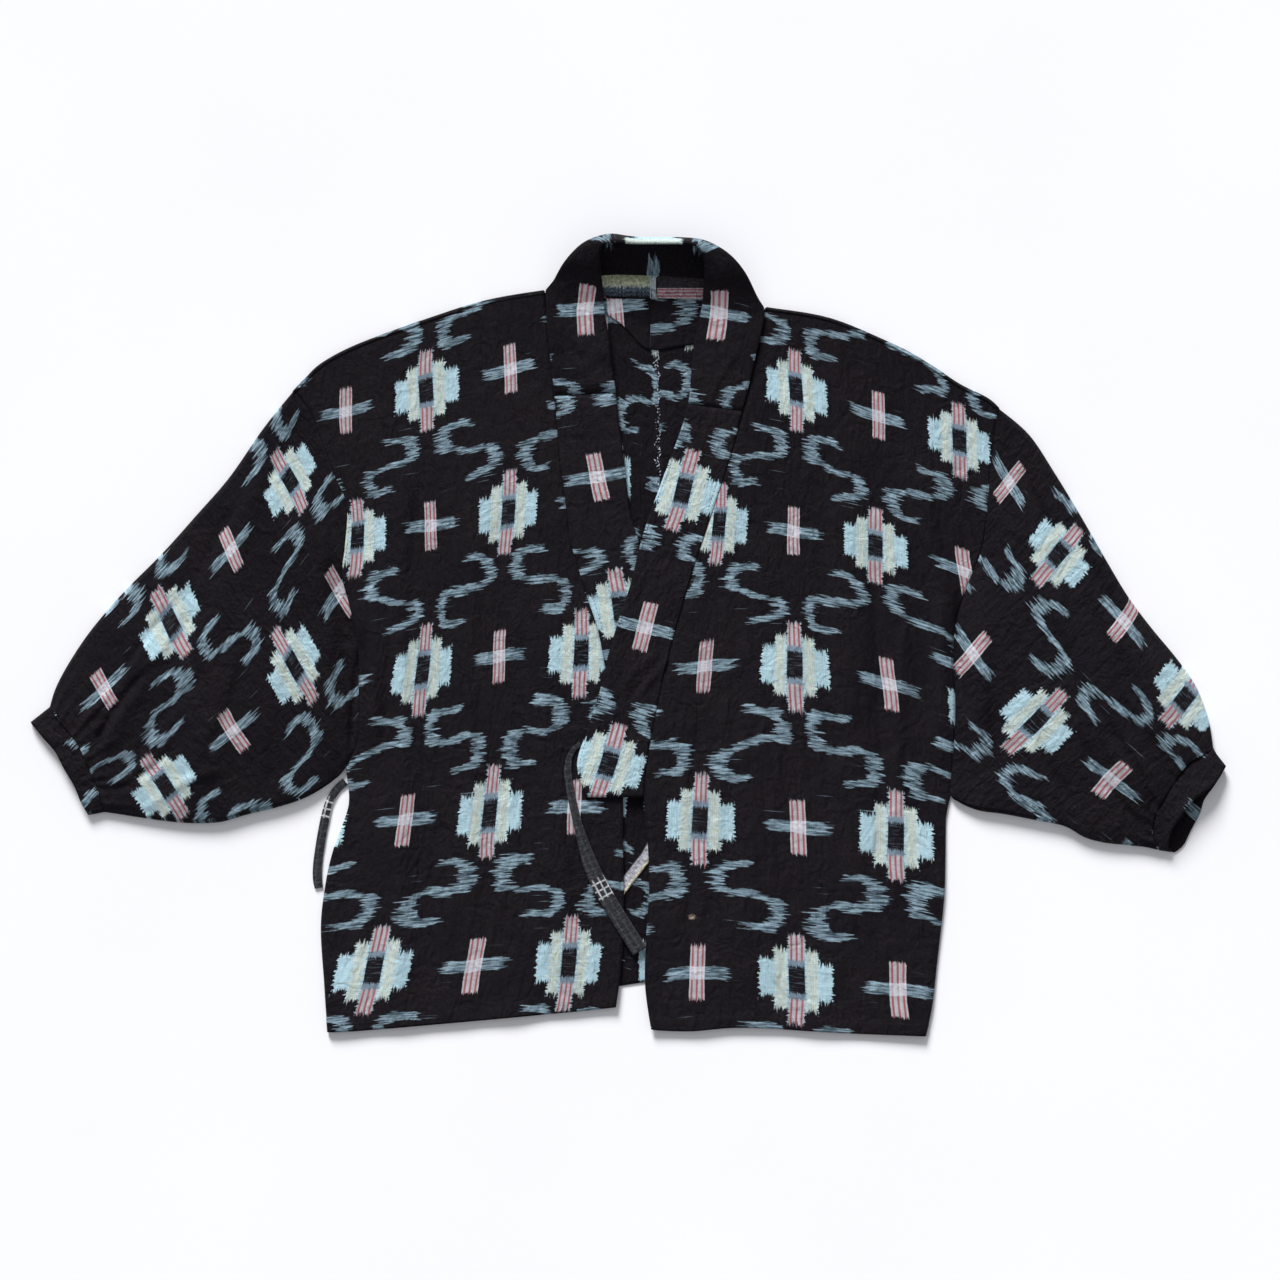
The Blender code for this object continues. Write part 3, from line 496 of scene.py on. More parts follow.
# The backs' selvedges lie this far from the centre line.
BACK_GAP = 0.02


def edge_line(a, b, shares, bows, sign):
    """A line from a to b that bows down (or up) by a table of shares and distances."""
    table = smooth_line(bows, 6)
    line = a + (b - a) * shares[:, None]
    line[:, 1] += sign * np.interp(shares, table[:, 0], table[:, 1])
    return line


def centre_bow(t):
    """How far the centre back seam bows to the right, by the share of its length."""
    return CENTRE_BOW * np.sin(math.pi * np.minimum(1, t * 0.5 / BOW_AT))


def body(name, table, shoulder, hem, neck, side, cloth_map, back_shift, finish):
    """One length of cloth: front, rolled shoulder, back and rolled side."""
    lines = smooth_line(table, ALONG_STEPS)
    outer, inner = lines[:, :2].copy(), lines[:, 2:].copy()
    below_armpit = np.clip(np.arange(len(lines)) / ALONG_STEPS - ARMPIT, 0, 1)
    outer[:, 0] -= side * (SEAM_GAP / 2 + (FRONT_TOP / 2 - SEAM_GAP / 2) * below_armpit)
    inner[:, 0] += side * SEAM_GAP
    outer[0, 1] += SHOULDER_TOP / 2
    inner[0, 1] += SHOULDER_TOP / 2
    shares = np.linspace(0, 1, FRONT_COLUMNS + 1)
    top = edge_line(outer[0], inner[0], shares, shoulder, -1)
    bottom = edge_line(outer[-1], inner[-1], shares, hem, 1)
    plan = fill(top, bottom, outer, inner)
    x, y = plan[..., 0], plan[..., 1]
    from_top = np.linalg.norm(plan - plan[:1], axis=2)
    from_hem = np.linalg.norm(plan - plan[-1:], axis=2)
    near_shoulder = np.exp(-((from_top / EDGE_REACH) ** 2))
    height = FRONT_TOP + (SHOULDER_TOP - FRONT_TOP) * near_shoulder
    height = height + relief(x, y) * (1 - 0.6 * near_shoulder)
    inner_hem = soft_step(HEM_DEPTH - HEM_SLOPE, HEM_DEPTH + HEM_SLOPE, from_hem)
    height = height + HEM_RISE * (1 - inner_hem)
    if side > 0:
        height = height + lap(x, y)
    front = with_height(plan, np.maximum(height, LOWEST_TOP))

    t = np.linspace(0, 1, len(lines))
    centre = np.array(CENTRE_NECK) + (np.array(CENTRE_HEM) - CENTRE_NECK) * t[:, None]
    centre[:, 0] += centre_bow(t) + side * BACK_GAP
    centre[0, 1] += SEAM_GAP
    neck_line = spread(smooth_line(neck, 4), NECK_COLUMNS) + (0, SEAM_GAP)
    back_top = np.vstack([top, neck_line[1:]])
    back_top[-1] = centre[0]
    back_shares = distances(back_top) / distances(back_top)[-1]
    back_bottom = edge_line(outer[-1], centre[-1], back_shares, BACK_HEM, 1)
    back_plan = fill(back_top, back_bottom, outer, centre, back_shares)
    back = with_height(back_plan, 0.0)

    cloth = cloth_map(x, y)
    # The back goes on from the shoulder: the same threads run down again behind.
    start = cloth_map(back_top[:, 0], back_top[:, 1]) + back_shift
    down = np.linalg.norm(back_plan - back_plan[:1], axis=2)
    back_cloth = np.stack([np.broadcast_to(start[:, 0], down.shape), start[:, 1] - down], axis=-1)

    out = (side * (outer[0, 1] - inner[0, 1]), -abs(inner[0, 0] - outer[0, 0]))
    shoulder_roll = np.stack(half_round(front[0], back[0, : FRONT_COLUMNS + 1], np.array(out)))
    first = ARMPIT * ALONG_STEPS
    side_roll = half_round(front[first:, 0], back[first:, 0], np.array((side, 0.0)))
    side_roll = np.stack(side_roll, axis=1)
    shoulder_cloth = np.broadcast_to(cloth[:1], (*shoulder_roll.shape[:2], 2))
    side_cloth = np.broadcast_to(cloth[first:, :1], (*side_roll.shape[:2], 2))
    sheets = [
        (front, cloth), (shoulder_roll, shoulder_cloth),
        (back, back_cloth), (side_roll, side_cloth),
    ]
    return sew(name, sheets, BODY_WALL, finish)


# %% [markdown]
# ## Sleeves and cuffs
#
# A sleeve is a tube, wide at the armhole and drawn into a narrow cuff by gathers. Laid down, it
# is two layers with a rolled edge on each side. The rows of the grid crowd towards the cuff,
# where the cloth bends most.

# %% Sleeves
SLEEVE_ROWS, SLEEVE_TOP_COLUMNS, SLEEVE_BACK_COLUMNS = 100, 110, 50
# Where the gathers lie across the cuff, their height and half width, and how far they run.
GATHERS = [0.07, 0.15, 0.22, 0.31, 0.38, 0.47, 0.53, 0.61, 0.7, 0.77, 0.86, 0.93]
GATHER_RISE, GATHER_WIDTH, GATHER_REACH, GATHER_TUCK = 1.5, 0.022, 42.0, 3.0
# How much the rows crowd towards the cuff, and how full the tubes' crowns are.
CROWD, FULLNESS = 1.25, 0.8


def tube(name, upper, lower, upper_cloth, lower_cloth, wall, finish):
    """A flattened tube from its upper and lower layers, with a rolled edge on each side."""
    out = upper[:, -1, :2] - upper[:, 0, :2]
    far = half_round(upper[:, -1], lower[:, -1], out)
    near = half_round(upper[:, 0], lower[:, 0], -out)
    grid = np.concatenate([
        upper, np.stack(far[1:-1], axis=1), lower[:, ::-1],
        np.stack(near[1:-1][::-1], axis=1), upper[:, :1],
    ], axis=1)
    cloth = np.concatenate([
        upper_cloth, np.repeat(upper_cloth[:, -1:], len(ROLL_ANGLES), axis=1), lower_cloth[:, ::-1],
        np.repeat(upper_cloth[:, :1], len(ROLL_ANGLES) + 1, axis=1),
    ], axis=1)
    return sew(name, [(grid, cloth)], wall, finish)


def mirrored(points, a, b):
    """Board points on the other side of the line from a to b."""
    ahead = (b - a) / np.linalg.norm(b - a)
    aside = np.array((-ahead[1], ahead[0]))
    return points - 2 * ((points - a) @ aside)[..., None] * aside


def sleeve(name, stations, sections, cuff_table, side, cloth_map, finish):
    """A gathered sleeve from the armhole to the cuff seam."""
    t = 1 - (1 - np.linspace(0, 1, SLEEVE_ROWS + 1)) ** CROWD
    fine = smooth_line(stations, 40)
    shares = np.linspace(0, 1, len(fine))
    table = np.stack([np.interp(t, shares, fine[:, k]) for k in range(6)], axis=1)
    left, right, edges, crowns = table[:, :2], table[:, 2:4], table[:, 4], table[:, 5]
    lower_edges = FRONT_TOP + (edges - FRONT_TOP) * soft_step(0, 0.3, t)
    width = np.linalg.norm(right - left, axis=1)[:, None]
    new_left = left + (right - left) / width * (edges / 2)[:, None]
    new_right = right - (right - left) / width * (lower_edges / 2)[:, None]
    left, right = new_left, new_right
    armhole = smooth_line(sections, ALONG_STEPS)[: ARMPIT * ALONG_STEPS + 1, :2]
    armhole = armhole + (side * SEAM_GAP / 2, 0)
    armhole[0], armhole[-1] = left[0], right[0]
    seam = smooth_line([row[:2] for row in cuff_table], 8)
    seam[0], seam[-1] = left[-1], right[-1]
    plan, below = (
        fill(spread(armhole, columns), spread(seam, columns), left, right)
        for columns in (SLEEVE_TOP_COLUMNS, SLEEVE_BACK_COLUMNS)
    )
    x, y = plan[..., 0], plan[..., 1]
    u = np.linspace(0, 1, SLEEVE_TOP_COLUMNS + 1)[None]
    width = np.linalg.norm(right - left, axis=1)[:, None]
    across = np.sin(math.pi * u).clip(0)
    height = FRONT_TOP + crowns[:, None] * across**FULLNESS
    height = height + (edges[:, None] - FRONT_TOP) * np.exp(-((u * width / EDGE_REACH) ** 2))
    near_lower_edge = np.exp(-(((1 - u) * width / EDGE_REACH) ** 2))
    height = height + (lower_edges[:, None] - FRONT_TOP) * near_lower_edge
    height = height + relief(x, y) * soft_step(0, 0.1, u) * soft_step(0, 0.1, 1 - u)
    to_cuff = np.linalg.norm(left - left[-1], axis=1)[:, None]
    tucked = 1 - 0.6 * np.exp(-((to_cuff / GATHER_TUCK) ** 2))
    drawn = np.exp(-((to_cuff / GATHER_REACH) ** 2)) * tucked
    for number, place_on in enumerate(GATHERS):
        reach = 1 + 0.5 * math.sin(number * 2.4)
        lean = 0.02 * math.sin(number * 1.7) * (1 - np.exp(-to_cuff / 40))
        pleat = np.exp(-(((u - place_on - lean) / GATHER_WIDTH) ** 2))
        height = height + GATHER_RISE * reach**0.5 * drawn ** (1 / reach) * pleat
    upper = with_height(plan, np.maximum(height, LOWEST_TOP))
    lower = with_height(below, 0.0)
    turned = mirrored(below, left[0], left[-1])
    maps = [cloth_map(layer[..., 0], layer[..., 1]) for layer in (plan, turned)]
    return tube(name, upper, lower, *maps, BODY_WALL, finish)


# %% Cuffs
CUFF_ROWS, CUFF_COLUMNS = 8, 60
# The puckers at the cuff's seam, and the ridge over its turned-in edge with its place and width.
PUCKER, TURNED_IN, RIDGE_AT, RIDGE_WIDTH = 0.35, 0.3, 0.85, 0.12


def cuff(name, table, crown, cloth_map, finish):
    """A narrow band, open at its mouth, with a small ridge where its edge is turned in."""
    lines = smooth_line(table, 8)
    plans = []
    for first in (2, 4):
        seam, mouth = lines[:, :2].copy(), lines[:, first : first + 2].copy()
        for line in (seam, mouth):
            over = (line[-1] - line[0]) / np.linalg.norm(line[-1] - line[0]) * CUFF_EDGE / 2
            line[0], line[-1] = line[0] + over, line[-1] - over
        near, far = spread(seam, CUFF_COLUMNS), spread(mouth, CUFF_COLUMNS)
        start = (SEAM_GAP / np.linalg.norm(far - near, axis=1))[None, :, None]
        v = np.linspace(0, 1, CUFF_ROWS + 1)[:, None, None]
        plans.append(near + (far - near) * (start + (1 - start) * v))
    plan, below = plans
    t = np.linspace(0, 1, CUFF_ROWS + 1)[:, None]
    u = np.linspace(0, 1, CUFF_COLUMNS + 1)[None]
    width = np.linalg.norm(plan[:, -1] - plan[:, 0], axis=1)[:, None]
    edges = sum(np.exp(-((way * width / EDGE_REACH) ** 2)) for way in (u, 1 - u))
    height = FRONT_TOP + (CUFF_EDGE - FRONT_TOP) * edges
    across = np.sin(math.pi * u)
    height = height + (crown[0] + (crown[1] - crown[0]) * t) * across.clip(0) ** FULLNESS
    puckers = PUCKER * np.sin(u * 71) * np.sin(u * 23 + 1) * across.clip(0)
    height = height + puckers * (1 - 0.5 * t)
    height = height + TURNED_IN * np.exp(-(((t - RIDGE_AT) / RIDGE_WIDTH) ** 2)) * across
    maps = [cloth_map(layer[..., 0], layer[..., 1]) for layer in plans]
    return tube(name, with_height(plan, height), with_height(below, 0.0), *maps, CUFF_WALL, finish)


# %% [markdown]
# ## The collar
#
# The collar is one long strip, sewn to the front edges and round the neck. It lies flat on the
# chest and stands up behind the neck, where it leans back over itself. A shorter strip, the
# over-collar, is folded over it at the neck to take the wear. The band is a row of stations: a
# straight line across where it lies, and a curve where it stands.

# %% Collar band
BAND_STEPS, BAND_COLUMNS = 6, 24
# start_x, start_y, end_x, end_y, bow to the side, half_width, height: creases of the band
BAND_CREASES = [
    (667, 661, 630, 699, 3, 2.6, -1.3), (676, 655, 640, 694, 3, 3.4, 1.6),
    (656, 652, 622, 690, 3, 4.0, 0.9),
    (553, 352, 615, 372, -4, 3.5, -0.9), (560, 372, 606, 352, 3, 3.0, 0.8),
    (556, 396, 618, 393, -2, 2.4, -1.0), (566, 384, 612, 380, 3, 3.0, 0.8),
    (572, 346, 600, 374, 2, 2.6, -0.7), (594, 330, 612, 366, -2, 3.0, 0.6),
    (566, 441, 624, 438, 1, 1.6, -0.7), (596, 497, 628, 512, 2, 3.0, -0.8),
    (584, 520, 640, 536, 3, 3.5, 0.7), (575, 560, 632, 590, -3, 3.0, -0.9),
    (590, 600, 640, 600, 3, 3.5, -0.7), (637, 551, 694, 566, 1, 1.5, -0.8),
    (655, 590, 690, 574, -2, 3.0, 0.6), (600, 735, 650, 722, 2, 3.5, -0.6),
    (700, 345, 745, 372, 3, 3.5, -0.6), (712, 395, 738, 350, -3, 4.0, 0.6),
    (580, 770, 600, 760, 2, 4.0, 0.5),
]


BAND_GAIN, BAND_CREASE_END, BAND_RELIEF = 2.0, 8.0, 0.8
# The fold at the free edge lies a little lower, over about this share of the band's width.
FREE_EDGE_DIP, FREE_EDGE_SHARE, LOWEST_BAND = 0.5, 0.05, 3.4


def flat_station(station, t):
    """A straight line across the band, from its seam to its free edge."""
    seam, free = np.array(station[:2]), np.array(station[2:4])
    return np.hstack([seam + (free - seam) * t, np.full_like(t, COLLAR_TOP + station[4])])


def standing_station(station, t):
    """A curve across the band through its seam, its middle and its free edge."""
    seam, middle, free = (np.array(station[k : k + 3], float) for k in (0, 3, 6))
    share = np.linalg.norm(middle - seam)
    share = share / (share + np.linalg.norm(free - middle))
    pull = (middle - seam * (1 - share) ** 2 - free * share**2) / (2 * share * (1 - share))
    return seam * (1 - t) ** 2 + pull * 2 * t * (1 - t) + free * t * t


def band_surface():
    """The upper face of the whole band, as rows of points."""
    t = np.linspace(0, 1, BAND_COLUMNS + 1)[:, None]
    rows, marks = [], []
    for table, across, lies, laps in (
        (LEFT_BAND, flat_station, 1, 0),
        (NECK_BAND, standing_station, 0, 0),
        (RIGHT_BAND, flat_station, 1, 1),
    ):
        rows += [across(station, t) for station in table]
        marks += [(lies, laps)] * len(table)
    band = smooth_line(np.array(rows).reshape(len(rows), -1), BAND_STEPS)
    band = band.reshape(-1, BAND_COLUMNS + 1, 3)
    marks = smooth_line(marks, BAND_STEPS).clip(0, 1)
    lies, laps = marks[:, :1], marks[:, 1:]
    x, y = band[..., 0], band[..., 1]
    raised = relief(x, y) * BAND_RELIEF + lap(x, y) * laps
    for row in BAND_CREASES:
        raised = raised + BAND_GAIN * ridge(x, y, *row, BAND_CREASE_END)
    raised = raised - FREE_EDGE_DIP * np.exp(-(((1 - t.T) / FREE_EDGE_SHARE) ** 2))
    band[..., 2] = np.maximum(band[..., 2] + raised * lies, LOWEST_BAND + laps * lap(x, y))
    return band


def band_normals(rows):
    """The direction out of the upper face at each point."""
    ahead, across = np.gradient(rows, axis=0), np.gradient(rows, axis=1)
    normals = np.cross(ahead, across)
    return normals / np.linalg.norm(normals, axis=2)[..., None]


def band_cloth(rows, centre, row, stretch_across, stretch_along):
    """Cloth places by distance across and along the band from a motif's board place."""
    along, across = distances(rows[:, BAND_COLUMNS // 2]), distances(rows[len(rows) // 2])
    near = np.linalg.norm(rows[:, :, :2] - np.array(centre), axis=2)
    j, i = np.unravel_index(near.argmin(), near.shape)
    aside, down = np.meshgrid(across - across[i], along - along[j])
    return np.stack([aside * stretch_across, down * stretch_along + row * REPEAT_ALONG], axis=-1)


# %% [markdown]
# ## Materials
#
# Indigo-black cotton is matt, with a faint bloom where threads stand up, and its light motifs
# are the bare undyed parts of single threads. That is why every motif has ragged ends: each
# thread slipped by a few millimetres in the loom. In the shader, a motif is a few distances
# in cloth millimetres, and noise that depends on one thread only shifts it before it is cut.

# %% Colours and a node helper
RGBA = {"out": 2, "data_type": "RGBA"}


def linear(code):
    """An sRGB hex colour as the linear numbers that Blender wants."""
    values = [int(code[i : i + 2], 16) / 255 for i in (1, 3, 5)]
    return (*(v / 12.92 if v <= 0.04045 else ((v + 0.055) / 1.055) ** 2.4 for v in values), 1.0)


def add(tree, kind, inputs=(), out=0, ramp=None, **settings):
    """Add one node, set it up, fill its sockets and return an output.

    The kind "Math ADD" means a ShaderNodeMath whose operation is ADD.
    """
    kind, _, operation = kind.partition(" ")
    node = tree.nodes.new(kind if "Node" in kind else "ShaderNode" + kind)
    if operation:
        node.operation = operation
    for key, value in settings.items():
        setattr(node, key, value)
    for key, value in inputs.items() if isinstance(inputs, dict) else enumerate(inputs):
        if isinstance(value, bpy.types.NodeSocket):
            tree.links.new(value, node.inputs[key])
        else:
            node.inputs[key].default_value = value
    if ramp:
        node.color_ramp.interpolation = ramp[0]
        elements = node.color_ramp.elements
        for number, (place_on, colour) in enumerate(ramp[1]):
            element = elements[number] if number < 2 else elements.new(place_on)
            element.position, element.color = place_on, colour
    return node.outputs[out] if node.outputs else node


def new_finish(name, numbers):
    """A material, a function that adds nodes to it, and its shader with some numbers set."""
    finish = bpy.data.materials.new(name)
    finish.use_nodes = True
    shader = finish.node_tree.nodes["Principled BSDF"]
    for key, value in numbers.items():
        shader.inputs[key].default_value = value
    return finish, partial(add, finish.node_tree), shader


def join(source, shader, socket):
    """Link an output to a socket of the shader."""
    shader.id_data.links.new(source, shader.inputs[socket])


def cotton(name, roughness, sheen):
    """A new finish for cloth, with the place on the cloth in millimetres."""
    numbers = {"Sheen Weight": sheen, "Sheen Roughness": 0.5, "Specular IOR Level": 0.07}
    finish, node, shader = new_finish(name, {"Roughness": roughness, **numbers})
    cloth = node("VectorMath SCALE", {0: node("UVMap", uv_map="cloth"), "Scale": 1 / MM})
    return finish, node, shader, cloth


GROUND, GREY_BLUE, LIGHT_BLUE = linear("#120f15"), linear("#7993a2"), linear("#b4d4df")
CREAM, PALE_PINK, RED = linear("#c9d2c6"), linear("#b4b6bb"), linear("#a23d4b")
DEEP_GREY, PALE_GREY, RING_GREY = linear("#374853"), linear("#98b1bf"), linear("#78899a")
SKY, CROSSED = linear("#a8c8d6"), linear("#dfe4ee")

# %% [markdown]
# ## The kasuri repeat as a node group
#
# The repeat is folded like paper until only one corner is left: two ping-pong nodes bring every
# place on the cloth into 97.5 by 80 mm, with the well at one end and the cross at the other.
# That way each sign is drawn once. The well is four steps of height by distance from its middle,
# and the curl is a half circle with two straight ends.

# %% Build the repeat
HALF_ALONG = REPEAT_ALONG / 2
# How far threads slip, in millimetres for the whole range of a noise.
WANDER, WARP_SLIP, WEFT_SLIP, WELL_SLIP, LOOSE = 9.0, 14.0, 32.0, 11.0, 24.0
# Distances from the middle of the well, and its half height from there on.
WELL_SPAN, RAMP_LIFT = 60.0, 0.2
WELL_STEPS = [(0.0, 46.5), (8.0, 31.0), (21.5, 19.0), (35.5, -9.0)]
WELL_COLOURS = [
    (0.0, GREY_BLUE), (8.0, GREY_BLUE), (8.5, LIGHT_BLUE),
    (12.0, CREAM), (19.0, CREAM), (22.5, LIGHT_BLUE),
]
CURL_SIDE, CURL_DOWN, CURL_RADIUS = 34.5, 64.0, 16.0


def kasuri_repeat():
    """A group from a cloth place in millimetres to the colour of the threads there."""
    tree = bpy.data.node_groups.new("kasuri_repeat", "ShaderNodeTree")
    tree.interface.new_socket("Cloth", in_out="INPUT", socket_type="NodeSocketVector")
    for label, kind in (("Color", "Color"), ("Dyed", "Float")):
        tree.interface.new_socket(label, in_out="OUTPUT", socket_type="NodeSocket" + kind)
    node = partial(add, tree)
    start = node("NodeGroupInput")

    def noise(stretch, detail, roughness=0.5):
        """Noise on the cloth; a small stretch in one direction makes streaks along it."""
        place = node("VectorMath MULTIPLY", [start, stretch])
        numbers = {"Scale": 1.0, "Detail": detail, "Roughness": roughness}
        return node("TexNoise", {"Vector": place, **numbers})

    def offsets(scale):
        """Two slow noises around zero, as one vector."""
        slow = node("TexNoise", {"Vector": start, "Scale": scale, "Detail": 1.0}, out=1)
        return node("VectorMath SUBTRACT", [slow, (0.5, 0.5, 0.5)])

    def across_along(place):
        """The two cloth directions of a place."""
        return [node("SeparateXYZ", [place], out=k) for k in (0, 1)]

    def folded(a, b):
        """Both places in the folded corner of the repeat."""
        down = node("Math PINGPONG", [b, HALF_ALONG])
        side = node("Math PINGPONG", [a, REPEAT_ACROSS])
        swap = node("Math GREATER_THAN", [node("Math PINGPONG", [b, REPEAT_ALONG]), HALF_ALONG])
        other = node("Math MULTIPLY_ADD", [side, -2.0, REPEAT_ACROSS])
        return node("Math MULTIPLY_ADD", [swap, other, side]), down

    def edge(limit, value, softness=1.2):
        """1 where value is below the limit, with a soft edge in millimetres."""
        gap = node("Math SUBTRACT", [limit, value])
        return node("Math MULTIPLY_ADD", [gap, 1 / softness, 0.5], use_clamp=True)

    def both(one, other):
        """Where both parts are."""
        return node("Math MULTIPLY", [one, other])

    def dyed(soft, streak, fullness=1.12):
        """A soft part, broken up by the streaks of its threads."""
        shown = node("Math MULTIPLY_ADD", [soft, fullness, node("Math MULTIPLY", [streak, -1.0])])
        return node("Math MULTIPLY", [shown, 2.6], use_clamp=True)

    def mix(share, under, over):
        """Two colours by a share of the second."""
        return node("Mix", {0: share, 6: under, 7: over}, **RGBA)

    # A hand-bound repeat wanders by a few millimetres from motif to motif.
    wander = node("VectorMath SCALE", {0: offsets(0.011), "Scale": WANDER})
    u, v = across_along(node("VectorMath ADD", [start, wander]))

    # One warp thread keeps its slip along its length, and so does one weft thread.
    across = across_along(start)[0]
    warp_slip = {"W": across, "Scale": 0.6, "Detail": 3.0, "Roughness": 0.85}
    warp_slip = node("Math SUBTRACT", [node("TexNoise", warp_slip, noise_dimensions="1D"), 0.5])
    v_warp = node("Math MULTIPLY_ADD", [warp_slip, WARP_SLIP, v])
    # The weft ties were looser: their motifs lean and stretch, each in its own way.
    from_well = node("Math PINGPONG", [v, HALF_ALONG])
    from_well = node("Math MULTIPLY", [from_well, 2 / HALF_ALONG], use_clamp=True)
    from_well = node("Math MULTIPLY", [from_well, LOOSE])
    loose = across_along(offsets(0.021))
    u_loose, v_loose = (
        node("Math MULTIPLY_ADD", [part, from_well, at]) for part, at in zip(loose, (u, v))
    )
    weft_slip = node("Math SUBTRACT", [noise((0.016, 0.46, 1.0), 1.0, 0.8), 0.5])
    u_weft = node("Math MULTIPLY_ADD", [weft_slip, WEFT_SLIP, u_loose])

    side, down = folded(u, v_warp)
    side_edge = folded(node("Math MULTIPLY_ADD", [weft_slip, WELL_SLIP, u]), v_warp)[0]
    side_weft, down_weft = folded(u_weft, v_loose)
    from_cross, from_cross_weft = (
        node("Math SUBTRACT", [REPEAT_ACROSS, place]) for place in (side, side_weft)
    )

    # The curl: a half circle, a short arm above and the bar to its twin below.
    arm = node("Math SUBTRACT", [side_weft, CURL_SIDE])
    left = node("Math MINIMUM", [arm, 0.0])
    lower = node("Math SUBTRACT", [down_weft, CURL_DOWN])
    from_middle = node("VectorMath LENGTH", [node("CombineXYZ", [left, lower])], out=1)
    off_line = node("Math ABSOLUTE", [node("Math SUBTRACT", [from_middle, CURL_RADIUS])])
    ends = node("Math MULTIPLY_ADD", [node("Math GREATER_THAN", [lower, 0.0]), 14.0, 16.0])
    # Its upright parts are wider, because each weft thread slipped along its own length.
    curl_width = node("Math MULTIPLY_ADD", [left, -0.16, 4.2])
    curl = both(edge(curl_width, off_line, 3.0), edge(ends, arm, 6.0))
    # The arms of the cross, woven with the same grey-blue weft.
    bar = both(edge(6.6, down_weft, 2.0), edge(31.0, from_cross_weft, 6.0))
    weft_light = node("Math MAXIMUM", [curl, bar])

    # The well: its height falls in steps away from its middle.
    share = node("Math DIVIDE", [side_edge, WELL_SPAN])
    by_side = [(s / WELL_SPAN, (h / WELL_SPAN + RAMP_LIFT,) * 3 + (1,)) for s, h in WELL_STEPS]
    well_height = node("ValToRGB", [share], ramp=("CONSTANT", by_side))
    well_height = node("Math SUBTRACT", [well_height, RAMP_LIFT])
    well_height = node("Math MULTIPLY", [well_height, WELL_SPAN])
    well = edge(well_height, down, 7.0)
    column = edge(8.0, side, 0.6)
    core, ring = both(column, edge(14.0, down)), both(column, edge(20.0, down))
    stub = both(column, edge(-20.0, node("Math MULTIPLY", [down, -1.0])))
    upright = both(edge(7.8, from_cross, 0.6), edge(27.5, down))
    # Three red threads' worth of lines on the pale stubs and on the cross.
    near_line = node("Math PINGPONG", [node("Math MINIMUM", [side, from_cross]), 2.6])
    red_line = node("Math MULTIPLY", [edge(1.0, near_line, 0.9), 0.85])

    # Threads differ: each took the dye a little more or less, so an edge breaks up into streaks.
    weft_streak, warp_streak = (
        node("Math MULTIPLY_ADD", [noise(stretch, 2.0, 0.6), 3.0, -1.0], use_clamp=True)
        for stretch in ((0.07, 0.5, 1.0), (0.6, 0.09, 1.0))
    )
    weft_tone = noise((0.045, 0.42, 4.0), 2.0, 0.7)
    weft_tone = node("Math MULTIPLY_ADD", [weft_tone, 4.0, -1.5], use_clamp=True)
    # A few weft threads slipped much further and show as lone pale lines.
    stray = node("Math MULTIPLY_ADD", [noise((0.022, 0.8, 9.0), 0.0), 9.0, -7.35], use_clamp=True)

    well_colour = [(s / WELL_SPAN, colour) for s, colour in WELL_COLOURS]
    well_colour = node("ValToRGB", [share], ramp=("LINEAR", well_colour))
    well_colour = mix(node("Math MULTIPLY", [weft_streak, 0.4]), well_colour, SKY)
    striped = mix(red_line, PALE_PINK, RED)
    crossing = mix(node("Math MULTIPLY", [dyed(bar, weft_streak), 0.6]), striped, CROSSED)
    weft_part = node("Math MAXIMUM", [dyed(weft_light, weft_streak), stray])
    well_part = dyed(well, warp_streak, 1.25)
    grey_ring = both(ring, node("Math MULTIPLY_ADD", [warp_streak, -0.5, 1.0]))
    dark = both(core, node("Math MULTIPLY_ADD", [weft_streak, -0.6, 1.35], use_clamp=True))
    # From the ground up, each part covers what is below it.
    colour = GROUND
    for shown, over in [
        (weft_part, mix(weft_tone, DEEP_GREY, PALE_GREY)),
        (dyed(upright, warp_streak, 1.3), crossing), (well_part, well_colour),
        (grey_ring, RING_GREY), (dark, GROUND), (both(stub, well_part), striped),
    ]:
        colour = mix(shown, colour, over)
    light = node("Math MAXIMUM", [node("Math MAXIMUM", [weft_part, upright]), well])
    node("NodeGroupOutput", [colour, light])
    print("kasuri repeat:", len(tree.nodes), "nodes")
    return tree


KASURI = kasuri_repeat()

# %% [markdown]
# ## Cotton finishes
#
# The dark cloth gets three layers of relief as bump: the plain weave, fine wrinkles that run
# with the threads, and a soft crumple. Real threads are half a millimetre apart, which one pixel
# can't show, so the weave is drawn at 1.7 mm. Handling has rubbed the cloth a little browner
# and paler in patches.

# %% Kasuri cotton
MOTTLE, MOTTLE_ON_LIGHT = 4.5, 3.6
WEAVE, WRINKLE, CRUMPLE, BUMP_DISTANCE = 0.028, 0.5, 0.5, 0.0075


